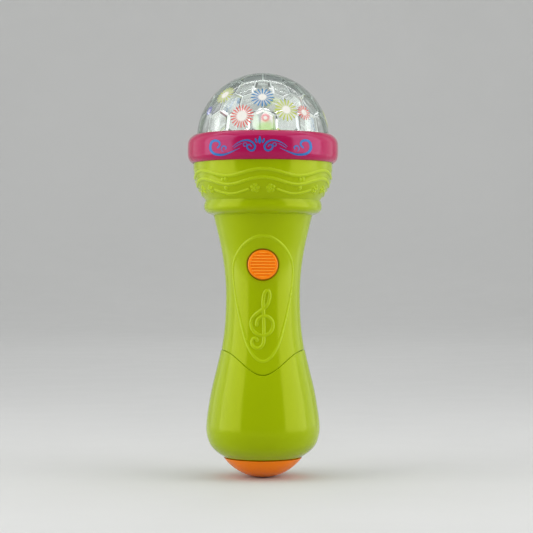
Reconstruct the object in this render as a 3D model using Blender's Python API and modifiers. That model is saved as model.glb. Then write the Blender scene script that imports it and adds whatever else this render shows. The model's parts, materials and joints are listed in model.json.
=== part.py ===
"""Toy microphone with a light dome, built as an assembly of separate pieces.

The microphone stands upright on +Z with its origin at the middle of its base. Its front, with the push
button, faces -Y. Lengths are in metres, written as millimetres times MM.
"""

import math

import bmesh
import bpy
from mathutils import Matrix, Vector

MM = 0.001

# Driving dimensions
GAP = 0.3 * MM  # clearance between neighbouring pieces
WALL = 2.0 * MM  # moulded wall thickness
SEGMENTS = 32  # facets around the large turned shells
FINE_SEGMENTS = 16  # facets around the small turned pieces

DOME_RADIUS = 35.2 * MM
DOME_CENTRE_Z = 179.8 * MM
FACET_INRADIUS = 32.7 * MM
# Rows of facets inside the dome: elevation in degrees and number around
FACET_ROWS = [(90, 1), (66, 8), (48, 16), (30, 16), (11, 16), (-8, 16), (-27, 16), (-50, 8), (-90, 1)]
RIM_TOP_Z = 177.5 * MM
CAP_SPHERE_RADIUS = 26.0 * MM
CAP_FLAT_RADIUS = 3.0 * MM

SEAM_LOW_Z = 55.3 * MM  # lowest point of the curved seam, at the front
SEAM_HIGH_Z = 67.7 * MM  # height of the seam at the sides and the back
SEAM_HALF_WIDTH = 22.4 * MM
LINER_RADIUS = 20.0 * MM  # spigot of the body shells inside the handle sleeve

BUTTON_Z = 113.0 * MM
BOARD_SCREW_Z = (81.5 * MM, 127.2 * MM)
BOARD_FRONT_Y = -8.0 * MM
BUTTON_RADIUS = 7.85 * MM
BUTTON_FACE_Y = -21.9 * MM
BUTTON_GROOVES = 8
BUTTON_GROOVE_PITCH = 1.58 * MM

SWITCH_Z = 105.0 * MM
SWITCH_TRAVEL = 3.0 * MM

DOOR_HALF_WIDTH = 12.5 * MM
DOOR_LOW_Z = 17.0 * MM
DOOR_HIGH_Z = 63.0 * MM
DOOR_SCREW_Z = 57.0 * MM

CELL_RADIUS = 5.25 * MM  # size AAA
CELL_LENGTH = 44.5 * MM
CELL_X = 7.4 * MM
CELL_Y = 8.75 * MM
CELL_LOW_Z = 19.4 * MM

CUP_SCREW = (27.0 * MM, 163.0 * MM)  # x and z of the upper pair of body screws
WAIST_SCREW = (13.8 * MM, 84.0 * MM)  # x and z of the lower pair

# Outer outlines, radius and height in millimetres, from top to bottom
CUP_KEYS = [(37.0, 167.9), (37.0, 164.0), (36.5, 160.3), (35.5, 156.2), (34.0, 152.6), (32.3, 149.7),
            (30.6, 147.1)]
BEAD_KEYS = [(30.6, 147.1), (31.2, 145.4), (31.4, 143.7), (31.0, 142.0), (29.6, 140.5), (27.6, 139.7),
             (26.4, 139.3)]
NECK_KEYS = [(26.4, 139.3), (24.4, 131.2), (22.0, 120.3), (20.3, 108.0), (19.75, 96.0), (20.3, 81.3),
             (21.8, 69.6), (23.9, 58.4), (26.4, 47.6)]
SLEEVE_KEYS = [(22.3, 67.9), (24.8, 57.3), (27.4, 46.6), (29.4, 35.2), (30.3, 27.0), (29.9, 22.2),
               (28.2, 17.4), (25.2, 13.9), (20.9, 10.9)]
RING_KEYS = [(35.55, 182.0), (36.4, 181.9), (37.7, 181.1), (39.1, 179.6), (39.8, 178.0), (40.0, 176.0),
             (40.0, 172.0), (39.7, 169.8), (38.9, 168.1), (37.8, 167.1)]


def millimetres(points):
    return [(r * MM, z * MM) for r, z in points]


# Scene set-up


def clear_scene():
    for obj in list(bpy.data.objects):
        bpy.data.objects.remove(obj, do_unlink=True)


def make_collection(name):
    collection = bpy.data.collections.new(name)
    bpy.context.scene.collection.children.link(collection)
    return collection


clear_scene()
PARTS = make_collection("toy_microphone")
CUTTERS = make_collection("cutters")


def make_material(name, colour, roughness=0.3, metallic=0.0):
    material = bpy.data.materials.new(name)
    material.use_nodes = True
    shader = material.node_tree.nodes["Principled BSDF"]
    shader.inputs["Base Color"].default_value = (*colour, 1.0)
    shader.inputs["Roughness"].default_value = roughness
    shader.inputs["Metallic"].default_value = metallic
    material.diffuse_color = (*colour, 1.0)
    return material


GREEN = make_material("green_plastic", (0.36, 0.46, 0.01), 0.28)
MAGENTA = make_material("magenta_plastic", (0.55, 0.02, 0.11), 0.25)
ORANGE = make_material("orange_plastic", (0.85, 0.2, 0.01), 0.32)
CLEAR = make_material("clear_plastic", (0.9, 0.93, 0.92), 0.05)
WHITE = make_material("white_plastic", (0.85, 0.85, 0.83), 0.4)
BLACK = make_material("black_plastic", (0.02, 0.02, 0.022), 0.45)
BOARD = make_material("circuit_board", (0.02, 0.2, 0.07), 0.35)
STEEL = make_material("plated_steel", (0.6, 0.6, 0.62), 0.25, 1.0)
COPPER = make_material("spring_wire", (0.72, 0.66, 0.5), 0.3, 1.0)
SILICONE = make_material("silicone", (0.62, 0.64, 0.62), 0.6)
FOAM = make_material("foam", (0.06, 0.06, 0.065), 0.95)
PAPER = make_material("cone_paper", (0.05, 0.05, 0.055), 0.9)
LED_RED = make_material("led_red", (0.9, 0.05, 0.08), 0.1)
LED_GREEN = make_material("led_green", (0.1, 0.8, 0.15), 0.1)
LED_BLUE = make_material("led_blue", (0.1, 0.25, 0.9), 0.1)
WIRE_RED = make_material("red_insulation", (0.6, 0.02, 0.02), 0.5)
WIRE_BLACK = make_material("black_insulation", (0.02, 0.02, 0.02), 0.5)
WIRE_WHITE = make_material("white_insulation", (0.8, 0.8, 0.78), 0.5)
CELL_WRAP = make_material("cell_wrap", (0.12, 0.13, 0.15), 0.35, 0.6)


# Shape helpers


def add_object(name, data, material=None):
    """A new object. One with no material is a cutter."""
    obj = bpy.data.objects.new(name, data)
    if material is None:
        CUTTERS.objects.link(obj)
        obj.hide_render = True
        obj.display_type = "WIRE"
    else:
        PARTS.objects.link(obj)
        data.materials.append(material)
    return obj


def mesh_from(name, bm):
    mesh = bpy.data.meshes.new(name)
    bmesh.ops.recalc_face_normals(bm, faces=bm.faces)
    bm.to_mesh(mesh)
    bm.free()
    mesh.shade_smooth()
    mesh.set_sharp_from_angle(angle=math.radians(35.0))
    return mesh


def turned(name, profile, material=None, segments=SEGMENTS, hollow=True):
    """A profile of (radius, z) turned about Z. A hollow one is a loop, a solid one starts and ends on Z."""
    mesh = bpy.data.meshes.new(name)
    count = len(profile)
    edges = [(i, i + 1) for i in range(count - 1)]
    if hollow:
        edges.append((count - 1, 0))
    mesh.from_pydata([(r, 0.0, z) for r, z in profile], edges, [])
    obj = add_object(name, mesh, material)
    screw = obj.modifiers.new("turn", "SCREW")
    screw.steps = segments
    screw.render_steps = segments
    screw.use_merge_vertices = True
    screw.merge_threshold = 0.00001
    screw.use_smooth_shade = True
    return obj


def smooth_line(keys, steps):
    """Points of a Catmull-Rom curve through the keys, with this many steps in each span."""
    ends = [Vector(keys[0]) * 2 - Vector(keys[1]), Vector(keys[-1]) * 2 - Vector(keys[-2])]
    knots = [ends[0], *[Vector(k) for k in keys], ends[1]]
    points = []
    for a, b, c, d in zip(knots, knots[1:], knots[2:], knots[3:]):
        square, cube = 2 * a - 5 * b + 4 * c - d, 3 * b - a - 3 * c + d
        for step in range(steps):
            t = step / steps
            points.append(tuple(0.5 * (2 * b + (c - a) * t + square * t**2 + cube * t**3)))
    points.append(tuple(keys[-1]))
    return points


def block(name, low, high, material=None, bevel=0.0):
    """A box between two corners, with rounded edges if bevel is given."""
    low, high = Vector(low), Vector(high)
    bm = bmesh.new()
    bmesh.ops.create_cube(bm, size=1.0)
    bmesh.ops.scale(bm, vec=high - low, verts=bm.verts)
    obj = add_object(name, mesh_from(name, bm), material)
    obj.location = (low + high) / 2
    if bevel:
        rounding = obj.modifiers.new("round", "BEVEL")
        rounding.width = bevel
        rounding.segments = 2
    return obj


def rod_mesh(bm, start, end, radius, segments):
    """Adds a capped cylinder from start to end to a bmesh."""
    start, end = Vector(start), Vector(end)
    direction = end - start
    turn = direction.to_track_quat("Z", "Y").to_matrix().to_4x4()
    place = Matrix.Translation((start + end) / 2) @ turn
    bmesh.ops.create_cone(bm, cap_ends=True, segments=segments, radius1=radius, radius2=radius,
                          depth=direction.length, matrix=place)


def rods(name, items, material=None, segments=FINE_SEGMENTS):
    """One mesh of capped cylinders, each given as (start, end, radius)."""
    bm = bmesh.new()
    for start, end, radius in items:
        rod_mesh(bm, start, end, radius, segments)
    return add_object(name, mesh_from(name, bm), material)


def sheet_solid(name, outline, y_low, y_high, material=None):
    """A flat outline of (x, z) points made a solid from y_low to y_high."""
    curve = bpy.data.curves.new(name, "CURVE")
    curve.dimensions = "2D"
    curve.fill_mode = "BOTH"
    curve.extrude = (y_high - y_low) / 2
    spline = curve.splines.new("POLY")
    spline.points.add(len(outline) - 1)
    for point, (x, z) in zip(spline.points, outline):
        point.co = (x, z, 0.0, 1.0)
    spline.use_cyclic_u = True
    drawn = bpy.data.objects.new(name + "_outline", curve)
    PARTS.objects.link(drawn)
    drawn.rotation_euler = (math.pi / 2, 0.0, 0.0)
    drawn.location = (0.0, (y_low + y_high) / 2, 0.0)
    bpy.context.view_layer.update()
    graph = bpy.context.evaluated_depsgraph_get()
    mesh = bpy.data.meshes.new_from_object(drawn.evaluated_get(graph))
    place = drawn.matrix_world.copy()
    bpy.data.objects.remove(drawn)
    bm = bmesh.new()
    bm.from_mesh(mesh)
    bmesh.ops.remove_doubles(bm, verts=bm.verts, dist=1e-6)
    solid = add_object(name, mesh_from(name, bm), material)
    solid.matrix_world = place
    return solid


def tube(name, points, radius, material, sides=1):
    """A wire through the points, with filled ends."""
    curve = bpy.data.curves.new(name, "CURVE")
    curve.dimensions = "3D"
    curve.bevel_depth = radius
    curve.bevel_resolution = sides
    curve.use_fill_caps = True
    spline = curve.splines.new("POLY")
    spline.points.add(len(points) - 1)
    for point, place in zip(spline.points, points):
        point.co = (*place, 1.0)
    return add_object(name, curve, material)


def boolean(obj, tool, operation="DIFFERENCE"):
    modifier = obj.modifiers.new(operation.lower(), "BOOLEAN")
    modifier.operation = operation
    modifier.object = tool
    modifier.solver = "EXACT"


def along_y(obj, x, y, z, forward=False):
    """Turns an object made along Z to lie along Y: its top faces +Y, or -Y if forward."""
    obj.rotation_euler = (math.pi / 2 if forward else -math.pi / 2, 0.0, 0.0)
    obj.location = (x, y, z)


# Light dome


def facet_directions():
    """Unit directions of the facets, in rows from the top down. Every second row is half a facet on."""
    directions = []
    for row, (elevation, count) in enumerate(FACET_ROWS):
        rise = math.radians(elevation)
        flat = math.cos(rise)
        for step in range(count):
            turn = 2 * math.pi * (step + 0.5 * (row % 2)) / count
            directions.append(Vector((flat * math.sin(turn), -flat * math.cos(turn), math.sin(rise))))
    return directions


def faceted_ball(name, inradius):
    """A ball of flat facets that all touch a sphere of this radius.

    Its corners are the poles of the faces of the hull around the facet directions.
    """
    hull = bmesh.new()
    for direction in facet_directions():
        hull.verts.new(direction)
    bmesh.ops.convex_hull(hull, input=hull.verts)
    hull.normal_update()
    corners = [face.normal * inradius / face.normal.dot(face.verts[0].co) for face in hull.faces]
    hull.free()
    bm = bmesh.new()
    for corner in corners:
        bm.verts.new(corner)
    bmesh.ops.remove_doubles(bm, verts=bm.verts, dist=1e-5)
    bmesh.ops.convex_hull(bm, input=bm.verts)
    bmesh.ops.dissolve_limit(bm, angle_limit=math.radians(1.0), verts=bm.verts, edges=bm.edges)
    return add_object(name, mesh_from(name, bm))


def make_dome():
    low = RIM_TOP_Z + GAP
    high = low + 1.8 * MM
    flange_radius = 36.6 * MM
    profile = [(0.0, DOME_CENTRE_Z + DOME_RADIUS)]
    for step in range(1, 10):
        angle = math.radians(10.0 * step)
        profile.append((DOME_RADIUS * math.sin(angle), DOME_CENTRE_Z + DOME_RADIUS * math.cos(angle)))
    profile += [(DOME_RADIUS, high), (flange_radius, high), (flange_radius, low), (0.0, low)]
    dome = turned("dome_cover", profile, CLEAR, hollow=False)
    facets = faceted_ball("dome_facet_cutter", FACET_INRADIUS)
    facets.location.z = DOME_CENTRE_Z
    boolean(dome, facets)


def make_ring():
    """The bezel ring holds the dome's flange down and snaps into a groove of the cup."""
    inner = [(37.3, 166.9), (37.3, 168.6), (36.6, 168.8), (36.6, 169.5), (37.3, 169.8), (37.3, 179.9),
             (35.55, 179.9)]
    turned("bezel_ring", millimetres(RING_KEYS + inner), MAGENTA)


def make_led(name, material, angle, spread, base_z):
    """A 5 mm LED: a flange, a barrel and a rounded end."""
    radius, flange_radius = 2.5 * MM, 2.9 * MM
    barrel_high = 6.1 * MM
    profile = [(0.0, barrel_high + radius)]
    for degrees in (30, 60, 90):
        turn = math.radians(degrees)
        profile.append((radius * math.sin(turn), barrel_high + radius * math.cos(turn)))
    profile += [(radius, 1.0 * MM), (flange_radius, 1.0 * MM), (flange_radius, 0.0), (0.0, 0.0)]
    led = turned(name, profile, material, segments=16, hollow=False)
    led.location = (spread * math.cos(angle), spread * math.sin(angle), base_z)


def make_light_deck():
    """White deck under the dome, the LED board below it and the LED post through its middle."""
    deck_low, deck_high = 174.3 * MM, 175.8 * MM
    hole_radius = 7.9 * MM
    board_low, board_high = 170.5 * MM, 172.1 * MM
    board_radius = 13.5 * MM
    standoff_x, standoff_radius = 10.6 * MM, 2.1 * MM
    deck_radius = 34.7 * MM
    deck = turned("light_deck", [(deck_radius, deck_high), (deck_radius, deck_low), (hole_radius, deck_low),
                                 (hole_radius, deck_high)], WHITE)
    places = (-standoff_x, standoff_x)
    posts = rods("deck_posts", [((x, 0, board_high + GAP), (x, 0, deck_low + 0.7 * MM), standoff_radius)
                                for x in places], segments=12)
    pilots = rods("deck_pilots", [((x, 0, board_low), (x, 0, deck_high - 0.4 * MM), 1.1 * MM)
                                  for x in places], segments=10)
    boolean(deck, posts, "UNION")
    boolean(deck, pilots)
    board = rods("led_board", [((0, 0, board_low), (0, 0, board_high), board_radius)], BOARD, segments=32)
    boolean(board, pilots)
    for x, label in zip(places, ("left", "right")):
        screw = make_screw("led_board_screw_" + label, 1.7 * MM, 1.1 * MM, 0.8 * MM, 4.6 * MM, segments=10)
        screw.rotation_euler = (math.pi, 0.0, 0.0)
        screw.location = (x, 0.0, board_low - GAP)
    post_high = 183.0 * MM
    turned("led_post", [(0.0, post_high), (6.8 * MM, post_high), (7.3 * MM, post_high - 1.0 * MM),
                        (7.3 * MM, board_high + GAP), (0.0, board_high + GAP)], WHITE, segments=24,
           hollow=False)
    leds = (("led_red", LED_RED, -60), ("led_green", LED_GREEN, 180), ("led_blue", LED_BLUE, 60))
    for name, material, degrees in leds:
        make_led(name, material, math.radians(degrees), 3.7 * MM, post_high + GAP)


def make_screw(name, head_radius, head_high, shank_radius, length, material=STEEL, segments=12):
    """A pan-head screw with its head on +Z and the underside of its head at z = 0, pointing down -Z."""
    profile = [(0.0, head_high), (head_radius * 0.6, head_high), (head_radius, head_high * 0.45),
               (head_radius, 0.0), (shank_radius, 0.0), (shank_radius, -length + shank_radius),
               (0.0, -length)]
    return turned(name, profile, material, segments=segments, hollow=False)


# Body shells


def skin_profile():
    """The turned wall of the body: outer side from the rim to the spigot, then the inside back up."""
    rim = [(36.9, 177.5), (36.9, 170.3), (36.2, 169.9), (36.2, 168.3), (36.9, 168.0)]
    outer = rim + smooth_line(CUP_KEYS, 1)[:-1] + BEAD_KEYS[:-1] + smooth_line(NECK_KEYS, 1)
    inner = [(18.0, 47.6), (18.0, 73.0), (18.2, 81.3), (17.7, 96.0), (18.3, 108.0), (20.0, 120.3),
             (22.4, 131.2), (24.6, 139.6), (27.6, 142.5), (29.0, 146.2), (31.2, 150.6), (33.2, 155.6),
             (34.4, 160.6), (34.6, 171.2), (32.8, 172.8), (32.8, 174.0), (35.0, 174.0), (35.0, 177.5)]
    return millimetres(outer + inner)


def seam_height(x):
    """Height of the curved seam between body and handle sleeve, seen from the front."""
    share = min(1.0, abs(x) / SEAM_HALF_WIDTH)
    return SEAM_LOW_Z + (SEAM_HIGH_Z - SEAM_LOW_Z) * math.sin(share * math.pi / 2) ** 2


def seam_cutter(name, shift, far_z, y_low, y_high):
    """A solid on one side of the seam, which is moved up by shift. far_z is its other edge."""
    count = 24
    reach = 36.0 * MM
    curve = []
    for step in range(count + 1):
        x = SEAM_HALF_WIDTH * (2 * step / count - 1)
        curve.append((x, seam_height(x) + shift))
    outline = [(-reach, SEAM_HIGH_Z + shift), *curve, (reach, SEAM_HIGH_Z + shift), (reach, far_z),
               (-reach, far_z)]
    return sheet_solid(name, outline, y_low, y_high)


def make_core():
    """The space that bosses may fill inside the body, a little short of its outer surface."""
    inset = 1.0
    skin = [(36.9, 171.5), *CUP_KEYS[1:-1], *BEAD_KEYS[:-1], *NECK_KEYS[:-2]]
    outer = [(r - inset, z) for r, z in skin]
    return turned("boss_space", millimetres([(0.0, 171.5), *outer, (0.0, outer[-1][1])]), hollow=False)


def screw_places():
    return [(side * x, z) for x, z in (CUP_SCREW, WAIST_SCREW) for side in (-1, 1)]


def screw_seat_y(z):
    """Depth of the shoulder under the head of the body screw at this height."""
    return 8.0 * MM if z > 0.1 else 5.5 * MM


def body_front(core):
    half_gap = GAP / 2
    front = turned("body_front_shell", skin_profile(), GREEN)
    boolean(front, block("rear_half", (-0.06, -half_gap, 0.03), (0.06, 0.06, 0.2)))
    board_posts = [((0, -26 * MM, z), (0, BOARD_FRONT_Y - GAP, z), 2.4 * MM) for z in BOARD_SCREW_Z]
    body_posts = [((x, -36 * MM, z), (x, -half_gap, z), 3.0 * MM) for x, z in screw_places()]
    guide = ((0, -22 * MM, BUTTON_Z), (0, -12.6 * MM, BUTTON_Z), 11.2 * MM)
    bosses = rods("front_bosses", [*board_posts, *body_posts, guide])
    boolean(bosses, core, "INTERSECT")
    boolean(front, bosses, "UNION")
    pilots = [((x, -9 * MM, z), (x, 1 * MM, z), 1.6 * MM) for x, z in screw_places()]
    pilots += [((0, -15 * MM, z), (0, -8 * MM, z), 1.3 * MM) for z in BOARD_SCREW_Z]
    pilots.append(((0, -17.2 * MM, BUTTON_Z), (0, -12 * MM, BUTTON_Z), 9.7 * MM))
    boolean(front, rods("front_pilots", pilots))
    button_hole = rods("button_hole", [((0, -30 * MM, BUTTON_Z), (0, -10 * MM, BUTTON_Z), 8.35 * MM)],
                       segments=32)
    boolean(front, button_hole)
    below_seam = seam_cutter("below_seam_front", 0.2 * MM, 0.03, -0.05, 0.01)
    boolean(below_seam, liner_keeper())
    boolean(front, below_seam)


def liner_keeper():
    """The spigot's cylinder, taken out of a seam cutter so that the spigot stays."""
    return rods("liner_space", [((0, 0, 0.02), (0, 0, 0.1), LINER_RADIUS)], segments=SEGMENTS)


def body_rear(core):
    half_gap = GAP / 2
    rear = turned("body_rear_shell", skin_profile(), GREEN)
    boolean(rear, block("front_half", (-0.06, -0.06, 0.03), (0.06, half_gap, 0.2)))
    bosses = rods("rear_bosses", [((x, half_gap, z), (x, 36 * MM, z), 4.1 * MM if z > 0.1 else 3.6 * MM)
                                  for x, z in screw_places()])
    boolean(bosses, core, "INTERSECT")
    boolean(rear, bosses, "UNION")
    seat = rods("speaker_seat", [((0, 25.7 * MM, 158.5 * MM), (0, 36 * MM, 158.5 * MM), 14.3 * MM)],
                segments=32)
    boolean(seat, rods("speaker_seat_bore", [((0, 20 * MM, 158.5 * MM), (0, 38 * MM, 158.5 * MM), 11.6 * MM)],
                       segments=32))
    boolean(seat, core, "INTERSECT")
    boolean(rear, seat, "UNION")
    clearances = [((x, -1 * MM, z), (x, 12 * MM, z), 1.6 * MM) for x, z in screw_places()]
    counterbores = [((x, screw_seat_y(z), z), (x, 40 * MM, z), 2.8 * MM) for x, z in screw_places()]
    boolean(rear, rods("rear_screw_clearances", clearances, segments=12))
    boolean(rear, rods("rear_screw_counterbores", counterbores))
    slots = []
    for row in range(5):
        z = 158.5 * MM + (row - 2) * 4.0 * MM
        half = (9.0 - abs(row - 2) * 1.6) * MM
        slots.append(block(f"sound_slot_{row + 1}", (-half, 26 * MM, z - 0.9 * MM),
                           (half, 45 * MM, z + 0.9 * MM)))
    for slot in slots:
        boolean(rear, slot)
    boolean(rear, block("switch_slot", (-2.1 * MM, 16.6 * MM, SWITCH_Z - 2.3 * MM),
                        (2.1 * MM, 30 * MM, SWITCH_Z + 2.3 * MM + SWITCH_TRAVEL)))
    below_seam = block("below_seam_rear", (-0.05, -0.01, 0.03), (0.05, 0.05, SEAM_HIGH_Z + GAP / 2))
    boolean(below_seam, liner_keeper())
    boolean(rear, below_seam)
    boolean(rear, block("rear_liner_cut", (-0.05, -0.01, 0.03), (0.05, 0.05, 66.5 * MM)))


def make_body_screws():
    for (x, z), label in zip(screw_places(), ("cup_left", "cup_right", "waist_left", "waist_right")):
        screw = make_screw("body_screw_" + label, 2.4 * MM, 1.6 * MM, 1.25 * MM, 13.0 * MM)
        along_y(screw, x, screw_seat_y(z) + GAP, z)


# Button and main board


def make_button():
    """The push button slides along +Y on its joint and is pushed back by the silicone pad."""
    joint = bpy.data.objects.new("button_press_axis", None)
    PARTS.objects.link(joint)
    joint.location = (0.0, BUTTON_FACE_Y, BUTTON_Z)
    chamfer = 0.8 * MM
    flange_face, flange_back = 5.8 * MM, 7.0 * MM  # depths behind the face
    stem_radius, stem_end = 3.0 * MM, 10.9 * MM
    wall = 1.4 * MM
    profile = [(0.0, 0.0), (BUTTON_RADIUS - chamfer, 0.0), (BUTTON_RADIUS - 0.25 * MM, -0.25 * MM),
               (BUTTON_RADIUS, -chamfer), (BUTTON_RADIUS, -flange_face), (9.2 * MM, -flange_face),
               (9.2 * MM, -flange_back), (BUTTON_RADIUS - wall, -flange_back),
               (BUTTON_RADIUS - wall, -2.2 * MM), (stem_radius, -2.2 * MM), (stem_radius, -stem_end),
               (0.0, -stem_end)]
    cap = turned("button_cap", profile, ORANGE, segments=24, hollow=False)
    along_y(cap, 0.0, 0.0, 0.0, forward=True)
    cap.parent = joint
    for groove in range(BUTTON_GROOVES):
        z = (groove - (BUTTON_GROOVES - 1) / 2) * BUTTON_GROOVE_PITCH
        half = math.sqrt((6.3 * MM) ** 2 - z**2)
        cutter = block(f"button_groove_{groove + 1}",
                       (-half, BUTTON_FACE_Y - 1 * MM, BUTTON_Z + z - 0.35 * MM),
                       (half, BUTTON_FACE_Y + 0.4 * MM, BUTTON_Z + z + 0.35 * MM))
        boolean(cap, cutter)


def make_main_board():
    """The main board stands behind the button and carries the silicone pad and the sound parts."""
    front_y, back_y = BOARD_FRONT_Y, BOARD_FRONT_Y + 1.6 * MM
    low_z, high_z = 77.5 * MM, 131.5 * MM
    board = block("main_board", (-10.4 * MM, front_y, low_z), (10.4 * MM, back_y, high_z), BOARD)
    holes = [((0, front_y - 2 * MM, z), (0, back_y + 2 * MM, z), 1.3 * MM) for z in BOARD_SCREW_Z]
    boolean(board, rods("board_holes", holes, segments=12))
    for z, label in zip(BOARD_SCREW_Z, ("lower", "upper")):
        along_y(make_screw("board_screw_" + label, 2.0 * MM, 1.2 * MM, 1.0 * MM, 7.0 * MM, segments=10),
                0.0, back_y + GAP, z)
    pad = turned("button_pad", millimetres([(0.0, 2.3), (3.4, 2.3), (4.4, 0.9), (6.6, 0.9), (6.6, 0.0),
                                            (0.0, 0.0)]), SILICONE, segments=24, hollow=False)
    along_y(pad, 0.0, front_y - GAP, BUTTON_Z, forward=True)
    block("sound_chip", (-4.0 * MM, back_y + GAP, 96.0 * MM), (4.0 * MM, back_y + 1.7 * MM, 104.0 * MM),
          BLACK, bevel=0.3 * MM)
    capacitor = turned("capacitor", millimetres([(0.0, 7.0), (2.4, 7.0), (2.5, 6.7), (2.5, 0.0), (0.0, 0.0)]),
                       BLACK, segments=16, hollow=False)
    along_y(capacitor, -5.5 * MM, back_y + GAP, 112.0 * MM)
    for z, label in ((90.0 * MM, "lower"), (118.5 * MM, "upper")):
        block("board_socket_" + label, (3.0 * MM, back_y + GAP, z),
              (9.0 * MM, back_y + 4.3 * MM, z + 4.5 * MM), WHITE)


def make_power_switch():
    """A slide switch behind a slot of the rear shell. Its knob slides up to turn the toy on."""
    block("power_switch_housing", (-3.2 * MM, 10.4 * MM, SWITCH_Z - 4.2 * MM),
          (3.2 * MM, 15.3 * MM, SWITCH_Z + 7.2 * MM), STEEL, bevel=0.4 * MM)
    joint = bpy.data.objects.new("power_switch_axis", None)
    PARTS.objects.link(joint)
    joint.location = (0.0, 15.6 * MM, SWITCH_Z)
    knob = block("power_switch_knob", (-1.7 * MM, 0.0, -1.9 * MM), (1.7 * MM, 5.6 * MM, 1.9 * MM), BLACK,
                 bevel=0.4 * MM)
    knob.parent = joint


# Speaker


def make_speaker():
    centre_z = 158.5 * MM
    frame = turned("speaker_frame", millimetres([(14.0, 0.0), (14.0, -1.2), (11.9, -1.5), (8.2, -5.0),
                                                 (7.0, -5.0), (7.0, -4.0), (10.8, -0.9), (12.4, -0.6),
                                                 (12.4, 0.0)]), STEEL, segments=24)
    along_y(frame, 0.0, 24.4 * MM, centre_z)
    cone = turned("speaker_cone", millimetres([(0.0, -2.0), (3.4, -2.3), (4.0, -3.0), (10.4, -0.2),
                                               (11.2, 0.5), (12.1, -0.1), (12.1, -0.3), (11.2, -0.3),
                                               (10.5, -0.6), (4.0, -3.7), (0.0, -3.7)]), PAPER, segments=20,
                  hollow=False)
    along_y(cone, 0.0, 24.4 * MM, centre_z)
    magnet = turned("speaker_magnet", millimetres([(0.0, -5.3), (6.6, -5.3), (6.6, -9.0), (6.0, -9.5),
                                                   (0.0, -9.5)]), STEEL, segments=24, hollow=False)
    along_y(magnet, 0.0, 24.4 * MM, centre_z)
    gasket = turned("speaker_gasket", millimetres([(14.0, 0.7), (14.0, 0.0), (12.6, 0.0), (12.6, 0.7)]),
                    FOAM, segments=24)
    along_y(gasket, 0.0, 24.7 * MM, centre_z)


# Handle sleeve, end cap and battery compartment


def sleeve_profile():
    outer = smooth_line(SLEEVE_KEYS, 1)
    inner = [(18.9, 10.9), (18.9, 13.0), (23.2, 15.1), (26.2, 18.2), (27.9, 22.6), (28.3, 27.0), (27.4, 35.2),
             (25.4, 46.6), (22.8, 57.3), (20.35, 67.9)]
    return millimetres(outer + inner)


def door_outline(inset):
    """A rectangle with round corners, as (x, z) points."""
    half = DOOR_HALF_WIDTH - inset
    low, high = DOOR_LOW_Z + inset, DOOR_HIGH_Z - inset
    radius = 3.5 * MM - inset
    corners = [(half - radius, low + radius, -90), (half - radius, high - radius, 0),
               (-half + radius, high - radius, 90), (-half + radius, low + radius, 180)]
    points = []
    for x, z, first in corners:
        for step in range(5):
            angle = math.radians(first + 22.5 * step)
            points.append((x + radius * math.cos(angle), z + radius * math.sin(angle)))
    return points


def make_sleeve():
    sleeve = turned("handle_sleeve", sleeve_profile(), GREEN)
    boolean(sleeve, seam_cutter("above_seam_front", -0.2 * MM, 0.1, -0.05, 0.0))
    boolean(sleeve, block("above_seam_rear", (-0.05, -0.001, SEAM_HIGH_Z - GAP / 2), (0.05, 0.05, 0.1)))
    boolean(sleeve, sheet_solid("door_opening", door_outline(0.0), 5 * MM, 45 * MM))


def make_battery_door():
    """A piece of the sleeve's own wall with a screw boss and two hooks. It tips out about its lower edge.

    Its captive screw is drawn backed out, with only the tip in the post, so that the door is free to open.
    """
    hinge_y, hinge_z = 28.6 * MM, DOOR_LOW_Z
    joint = bpy.data.objects.new("battery_door_axis", None)
    PARTS.objects.link(joint)
    joint.location = (0.0, hinge_y, hinge_z)
    bpy.context.view_layer.update()
    door = turned("battery_door", sleeve_profile(), GREEN)
    boolean(door, sheet_solid("door_panel_shape", door_outline(GAP), 5 * MM, 45 * MM), "INTERSECT")
    boss = rods("door_boss", [((0, 15.2 * MM, DOOR_SCREW_Z), (0, 24.2 * MM, DOOR_SCREW_Z), 3.6 * MM)])
    boolean(door, boss, "UNION")
    for side in (-1, 1):
        hook = block(f"door_hook_{side}", (side * 6 * MM - 1.6 * MM, 20.8 * MM, 15.8 * MM),
                     (side * 6 * MM + 1.6 * MM, 22.2 * MM, 19.7 * MM))
        foot = block(f"door_foot_{side}", (side * 6 * MM - 2 * MM, 20.5 * MM, 18.9 * MM),
                     (side * 6 * MM + 2 * MM, 26.8 * MM, 20.3 * MM))
        boolean(door, foot, "UNION")
        boolean(door, hook, "UNION")
    seat_y, outside_y = 22 * MM, 30 * MM
    for label, start_y, radius in (("clearance", 14 * MM, 1.6 * MM), ("counterbore", seat_y, 2.8 * MM)):
        hole = ((0, start_y, DOOR_SCREW_Z), (0, outside_y, DOOR_SCREW_Z), radius)
        boolean(door, rods("door_screw_" + label, [hole]))
    screw = make_screw("battery_door_screw", 2.4 * MM, 1.5 * MM, 1.25 * MM, 11.0 * MM)
    along_y(screw, 0.0, seat_y + GAP, DOOR_SCREW_Z)
    for piece in (door, screw):
        piece.parent = joint
        piece.matrix_parent_inverse = joint.matrix_world.inverted()


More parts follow.
